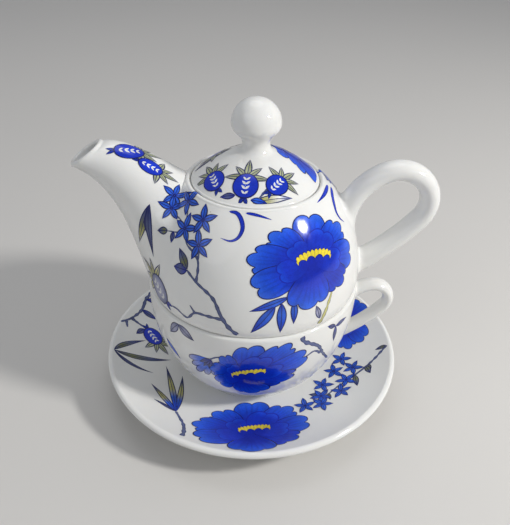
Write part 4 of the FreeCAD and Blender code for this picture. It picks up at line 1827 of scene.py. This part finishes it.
@dataclass
class CupLook(Look):
    """The cup: glaze, its ear handle and print round its outside."""

    body: str = "cup"
    glaze: Glaze = Glaze("cup_glaze", 7.0 * MM)
    wall: Pair = (20.0 * MM, 63.5 * MM)
    ear: Handle = field(default_factory=lambda: Handle(
        name="cup_ear",
        loop=(62.0 * MM, 51.6 * MM),
        curve=8.3 * MM,
        turns=(100.0, -40.0),
        roots=(55.7 * MM, 27.2 * MM),
        thickness=5.6 * MM,
        width=8.6 * MM,
        swell=1.1 * MM,
        blend=2.6 * MM,
    ))

    def build(self, kit: Kit) -> None:
        """Dresses the cup, builds its handle and prints on it.

        Args:
            kit: What the objects share.
        """
        glaze = self.glaze.material()
        kit.dress("cup_bowl", glaze)
        skin = Skin(kit.nodes["cup_bowl"])
        ear = add_piece(self.ear.name, self.ear.build(Flank(skin, *self.wall)), glaze)
        kit.ride(ear, self.body, "cup_handle")
        self.decorate(kit, skin, Lie.WALL)

    def draw(self, decal: Ornament, motifs: Motifs) -> None:
        """Puts the motifs round the wall.

        Args:
            decal: The cup's print.
            motifs: The motifs.
        """
        peony = motifs.peony.pulled((-11, -1), (0, -6), (31, 40))
        for turn in (0, 180):
            decal.put(peony, decal.spot(turn - 85, 45), 17, (0.84, 0.92), level=3, wrap=True)
            decal.put(motifs.bud, decal.spot(turn - 111, 50.5), 148, (0.9, 1.3), level=3)
            decal.twig(((-98, 50), (-103, 53), (-107.5, 52.8), (-111, 50.5)), 1.5, turn, 1)
            decal.twig(((-64.3, 63.8), (-62.7, 60.5), (-54, 54.5), (-49, 47), (-41, 38)), 2.2, turn)
            decal.twig(((-51, 48.5), (-56, 52), (-61, 50.5)), 1.6, turn, 1)
            for tip, width in (((-41.5, 50.5), 3.0), ((-31, 59.5), 2.8), ((-48.5, 63.5), 2.6)):
                decal.leaf(Foliage.DARK, (-42, 60.5), tip, width, turn, 1)
            for tip in ((-137, 55.5), (-120, 58.5)):
                decal.leaf(Foliage.LILAC, (-130, 63.8), tip, 4.6, turn, bend=0.1)
            decal.leaf(Foliage.BLUE, (-143.5, 47), (-134, 38), 4.6, turn)


@dataclass
class PotLook(Look):
    """The teapot: glaze, horn spout, looped handle and print all round."""

    body: str = "pot"
    glaze: Glaze = Glaze("pot_glaze", 60.9 * MM)
    ledge: float = 65.7 * MM
    wall: Pair = (65.8 * MM, 118.3 * MM)
    spout_ceiling: float = 117.7 * MM
    horn: Spout = field(default_factory=lambda: Spout("pot_horn"))
    loop: Handle = field(default_factory=lambda: Handle(
        name="pot_loop",
        loop=(66.3 * MM, 108.5 * MM),
        curve=15.5 * MM,
        turns=(115.0, -38.0),
        roots=(103.5 * MM, 74.1 * MM),
        thickness=9.4 * MM,
        width=12.0 * MM,
        swell=1.7 * MM,
        blend=3.2 * MM,
        floor=65.7 * MM,
    ))

    def build(self, kit: Kit) -> None:
        """Dresses the body, builds the spout and handle, and prints on them.

        Args:
            kit: What the objects share.
        """
        glaze = self.glaze.material()
        kit.dress("pot_body", glaze)
        body = kit.nodes["pot_body"]
        flank = Flank(Skin(body), *self.wall)
        spout = add_piece(self.horn.name, self.horn.build(flank, self.ledge, self.spout_ceiling), glaze)
        kit.ride(spout, self.body, "pot_spout")
        handle = add_piece(self.loop.name, self.loop.build(flank), glaze)
        kit.ride(handle, self.body, "pot_handle")
        self.decorate(kit, Skin(body, spout), Lie.WALL)

    def draw(self, decal: Ornament, motifs: Motifs) -> None:
        """Puts the motifs round the wall and along the spout.

        Args:
            decal: The teapot's print.
            motifs: The motifs.
        """
        for turn in (0, 160):
            decal.put(motifs.peony, decal.spot(turn - 57.5, 98.9), -6, level=3, wrap=True)
            self.branch(decal, motifs, turn)
            curl = ((-109, 118), (-103, 117.9), (-99, 116), (-97.5, 113.2), (-99.7, 110.2), (-104.2, 108.8),
                    (-110.5, 109.2))
            decal.stroke(curl, 1.9, turn)
            decal.stroke(((-96.5, 118.2), (-89, 117.8), (-77.7, 116.1)), 1.3, turn)
            decal.twig(((-71, 88), (-76, 84.5), (-80, 83)), 1.2, turn)
            for root, tip, width in (((-72, 86.8), (-91.6, 81.1), 3.8), ((-79, 83.4), (-90.7, 69.8), 5.0),
                                     ((-75.9, 84.4), (-76.3, 69), 4.6), ((-69.6, 84.4), (-69.7, 72.7), 3.6)):
                decal.leaf(Foliage.BLUE, root, tip, width, turn, 1, bend=-0.05)
            decal.twig(((-54.5, 67.5), (-51.3, 73.2), (-49.2, 77.7), (-46.5, 83)), 2.4, turn, core=Ink.STRAW)
            decal.leaf(Foliage.LILAC, (-54.5, 71), (-57.3, 79), 3.2, turn)
        for side in (-1, 1):
            decal.stroke(((side * 6, 117.4), (side * 21, 117.4), (side * 36.5, 117)), 2.0)
            curl = ((3, 115.6), (14.4, 114.3), (22.1, 110.8), (22.7, 107.5), (19.5, 104.4))
            decal.stroke([(side * azimuth, height) for azimuth, height in curl], 2.2)
            root = (side * 160, 113)
            decal.leaf(Foliage.DUSK, root, (side * 152.6, 89.8), 3.6, level=4, bend=side * -0.2)
            decal.leaf(Foliage.REED, root, (side * 163, 92.5), 4.0, bend=side * 0.1)
            decal.leaf(Foliage.REED, (side * 159.5, 108), (side * 157.2, 98), 2.2, level=2)
            decal.put(motifs.dim_fruit, decal.spot(side * 146, 75.5), side * -62, (1.08, 1.3), level=3)
        for azimuth, distance, lean, size in ((-177, 56, 14, (0.78, 1.16)), (-172.3, 47, -24, (0.64, 1.0))):
            decal.put(motifs.fruit, decal.spot(azimuth, distance, Lie.DISH), lean, size, level=3)

    def branch(self, decal: Ornament, motifs: Motifs, turn: float) -> None:
        """Puts the blossoming branch on the wall between the spout and the peony.

        Args:
            decal: The teapot's print.
            motifs: The motifs.
            turn: Degrees that the branch is turned by about the axis; unturned, it also runs onto the spout.
        """
        twigs = (
            (2.1, 0, ((-97, 68), (-101, 71.5), (-105, 77), (-108.5, 83.5), (-112, 86.5), (-119.6, 90),
                      (-126.2, 93.4))),
            (1.3, 0, ((-119.6, 90), (-119.6, 95), (-121, 99.1), (-126, 101.6), (-131, 103.3),
                      (-136.4, 107.8))),
            (1.1, 0, ((-121, 99), (-121.2, 101.4), (-122.5, 104))),
            (1.0, 0, ((-136.4, 107.8), (-140, 112.2), (-145, 115.5))),
            (0.9, 0, ((-136.4, 106.6), (-141, 105), (-147, 104))),
            (1.5, 1, ((-105, 75.5), (-112, 75.5), (-119, 75), (-124, 70.5), (-131, 72.4), (-137, 71.4))),
            (1.3, 1.5, ((-119, 75), (-122, 78))),
        )
        for width, level, stops in twigs:
            decal.twig(stops, width, turn, level)
        decal.leaf(Foliage.SHADE, (-126, 93.8), (-135, 100.3), 4.6, turn, 2)
        decal.leaf(Foliage.DARK, (-126, 93.2), (-135.5, 92), 5.2, turn, 2)
        decal.leaf(Foliage.DARK, (-143.5, 104.8), (-142.2, 100), 2.8, turn, 2)
        for azimuth, height in ((-122.7, 104.5), (-136.4, 107.8), (-125.8, 113.2), (-146.8, 116)):
            decal.put(motifs.star, decal.spot(turn + azimuth, height), azimuth, 1.08, level=4)
        if not turn:
            decal.leaf(Foliage.SHADE, (-147.3, 104), (-153, 102.5), 3.6, level=2)
            decal.twig(((-137, 107.6), (-143.4, 109.5), (-150, 110)), 1.0)
            for azimuth, distance in ((-154.2, 40.7), (-160, 38)):
                decal.put(motifs.star, decal.spot(azimuth, distance, Lie.DISH), azimuth, 1.0, level=4)


@dataclass
class LidLook(Look):
    """The lid: glaze, plain knob and print round its dome."""

    body: str = "lid"
    glaze: Glaze = Glaze("lid_glaze", 0.0)
    dome: Pair = (9.5 * MM, 27.9 * MM)

    def build(self, kit: Kit) -> None:
        """Dresses the cap and knob and prints on the cap.

        Args:
            kit: What the objects share.
        """
        glaze = self.glaze.material()
        for node in ("lid_cap", "lid_knob"):
            kit.dress(node, glaze)
        self.decorate(kit, Skin(kit.nodes["lid_cap"]), Lie.DISH, self.dome)

    def draw(self, decal: Ornament, motifs: Motifs) -> None:
        """Puts the motifs round the dome.

        Args:
            decal: The lid's print.
            motifs: The motifs.
        """
        fruits = ((-141, 23.0, 66, 0.92), (-101, 21.2, 2, 1.0), (-64, 21.4, -62, 0.88))
        fruits += ((111, 21.2, 2, 1.0), (149, 21.4, -62, 0.88))
        for azimuth, distance, lean, size in fruits:
            decal.put(motifs.fruit, decal.spot(azimuth, distance), lean, size, level=3)
        for turn in (0, 213):
            decal.twig(((-75, 22.5), (-81, 24), (-86, 26)), 1.3, turn, 1)
            decal.leaf(Foliage.STRAW, (-92, 27), (-54, 27), 4.2, turn, bend=0.1)
            decal.leaf(Foliage.BLUE, (-94, 26.4), (-79, 27.6), 3.2, turn, 0.5)
            decal.leaf(Foliage.DARK, (-109, 25.5), (-123, 27.4), 3.2, turn)
        decal.leaf(Foliage.DUSK, (177, 27.5), (156, 12), 4.6, bend=-0.2)
        far_heart = motifs.small_heart.pulled((9, 0), (0, -6), (30, 30))
        decal.put(far_heart, decal.spot(28, 20.0), 24, 0.74, level=3)


@dataclass(frozen=True)
class Lamp:
    """A round soft light: direction from the set to it, distance, diameter, power and colour."""

    name: str
    towards: Colour
    distance: float
    size: float
    power: float
    colour: Colour

    def hang(self, middle: Vector) -> None:
        """Hangs it so that it faces a point.

        Args:
            middle: The point.
        """
        lamp = bpy.data.lights.new(self.name, "AREA")
        lamp.shape = "DISK"
        lamp.size = self.size
        lamp.energy = self.power
        lamp.color = self.colour
        hung = bpy.data.objects.new(self.name, lamp)
        way = Vector(self.towards).normalized()
        turn = way.to_track_quat("Z", "Y").to_matrix().to_4x4()
        hung.matrix_world = Matrix.Translation(middle + way * self.distance) @ turn
        bpy.context.scene.collection.objects.link(hung)


@dataclass
class Studio:
    """Floor, soft lights and the camera where the photograph was taken from."""

    place: Colour = (0.0, -254.3, 245.74)
    right: Colour = (0.9998, 0.0102, 0.0194)
    up: Colour = (-0.0218, 0.5655, 0.8245)
    lens: float = 42.06
    sensor: float = 36.0
    nearest: float = 10.0 * MM
    floor_reach: float = 3.0
    middle: Colour = (0.0, 0.0, 80.0 * MM)
    sky: Colour = (0.93, 0.95, 1.0)
    sky_strength: float = 0.34
    lamps: tuple[Lamp, ...] = (
        Lamp("key", (0.777, -0.288, 0.57), 0.95, 0.12, 6.9, (1.0, 0.98, 0.95)),
        Lamp("fill", (-0.694, -0.619, 0.62), 1.3, 1.1, 2.3, (0.96, 0.98, 1.0)),
        Lamp("top", (-0.025, 0.363, 1.0), 1.2, 0.9, 2.5, (1.0, 1.0, 1.0)),
    )

    def build(self) -> None:
        """Builds all of it."""
        self.floor()
        for lamp in self.lamps:
            lamp.hang(Vector(self.middle))
        world = bpy.data.worlds.new("room")
        bpy.context.scene.world = world
        world.use_nodes = True
        sky = world.node_tree.nodes["Background"]
        sky.inputs["Color"].default_value = opaque(self.sky)
        sky.inputs["Strength"].default_value = self.sky_strength
        self.camera()
        bpy.context.scene.view_settings.view_transform = "Standard"

    def floor(self) -> None:
        """Lays the floor."""
        mesh = bpy.data.meshes.new("floor")
        reach = self.floor_reach
        edge = ((-reach, -reach, 0), (reach, -reach, 0), (reach, reach, 0), (-reach, reach, 0))
        mesh.from_pydata(edge, [], [(0, 1, 2, 3)])
        add_piece("floor", mesh, TableTop("pale_floor").material())

    def camera(self) -> None:
        """Puts the camera at the photograph's viewing angle."""
        lens = bpy.data.cameras.new("photo_view")
        lens.lens = self.lens
        lens.sensor_width = self.sensor
        lens.clip_start = self.nearest
        viewer = bpy.data.objects.new("photo_view", lens)
        right, up = Vector(self.right), Vector(self.up)
        turn = Matrix((right, up, right.cross(up))).transposed().to_4x4()
        viewer.matrix_world = Matrix.Translation(Vector(self.place) * MM) @ turn
        bpy.context.scene.collection.objects.link(viewer)
        bpy.context.scene.camera = viewer


def corners(box: Sequence[Sequence[float]]) -> list[list[float]]:
    """A box as plain lists of numbers."""
    return [[float(value) for value in corner] for corner in box]


def main() -> None:
    """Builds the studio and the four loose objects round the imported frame."""
    logging.basicConfig(level=logging.INFO, format="%(name)s: %(message)s")
    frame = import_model()
    Studio().build()
    kit = Kit(frame["nodes"], Motifs(), LayOn(), Print("blue_print").material())
    for look in (SaucerLook(), CupLook(), PotLook(), LidLook()):
        LOG.info("building the %s", look.body)
        look.build(kit)


if __name__ == "__main__":
    main()
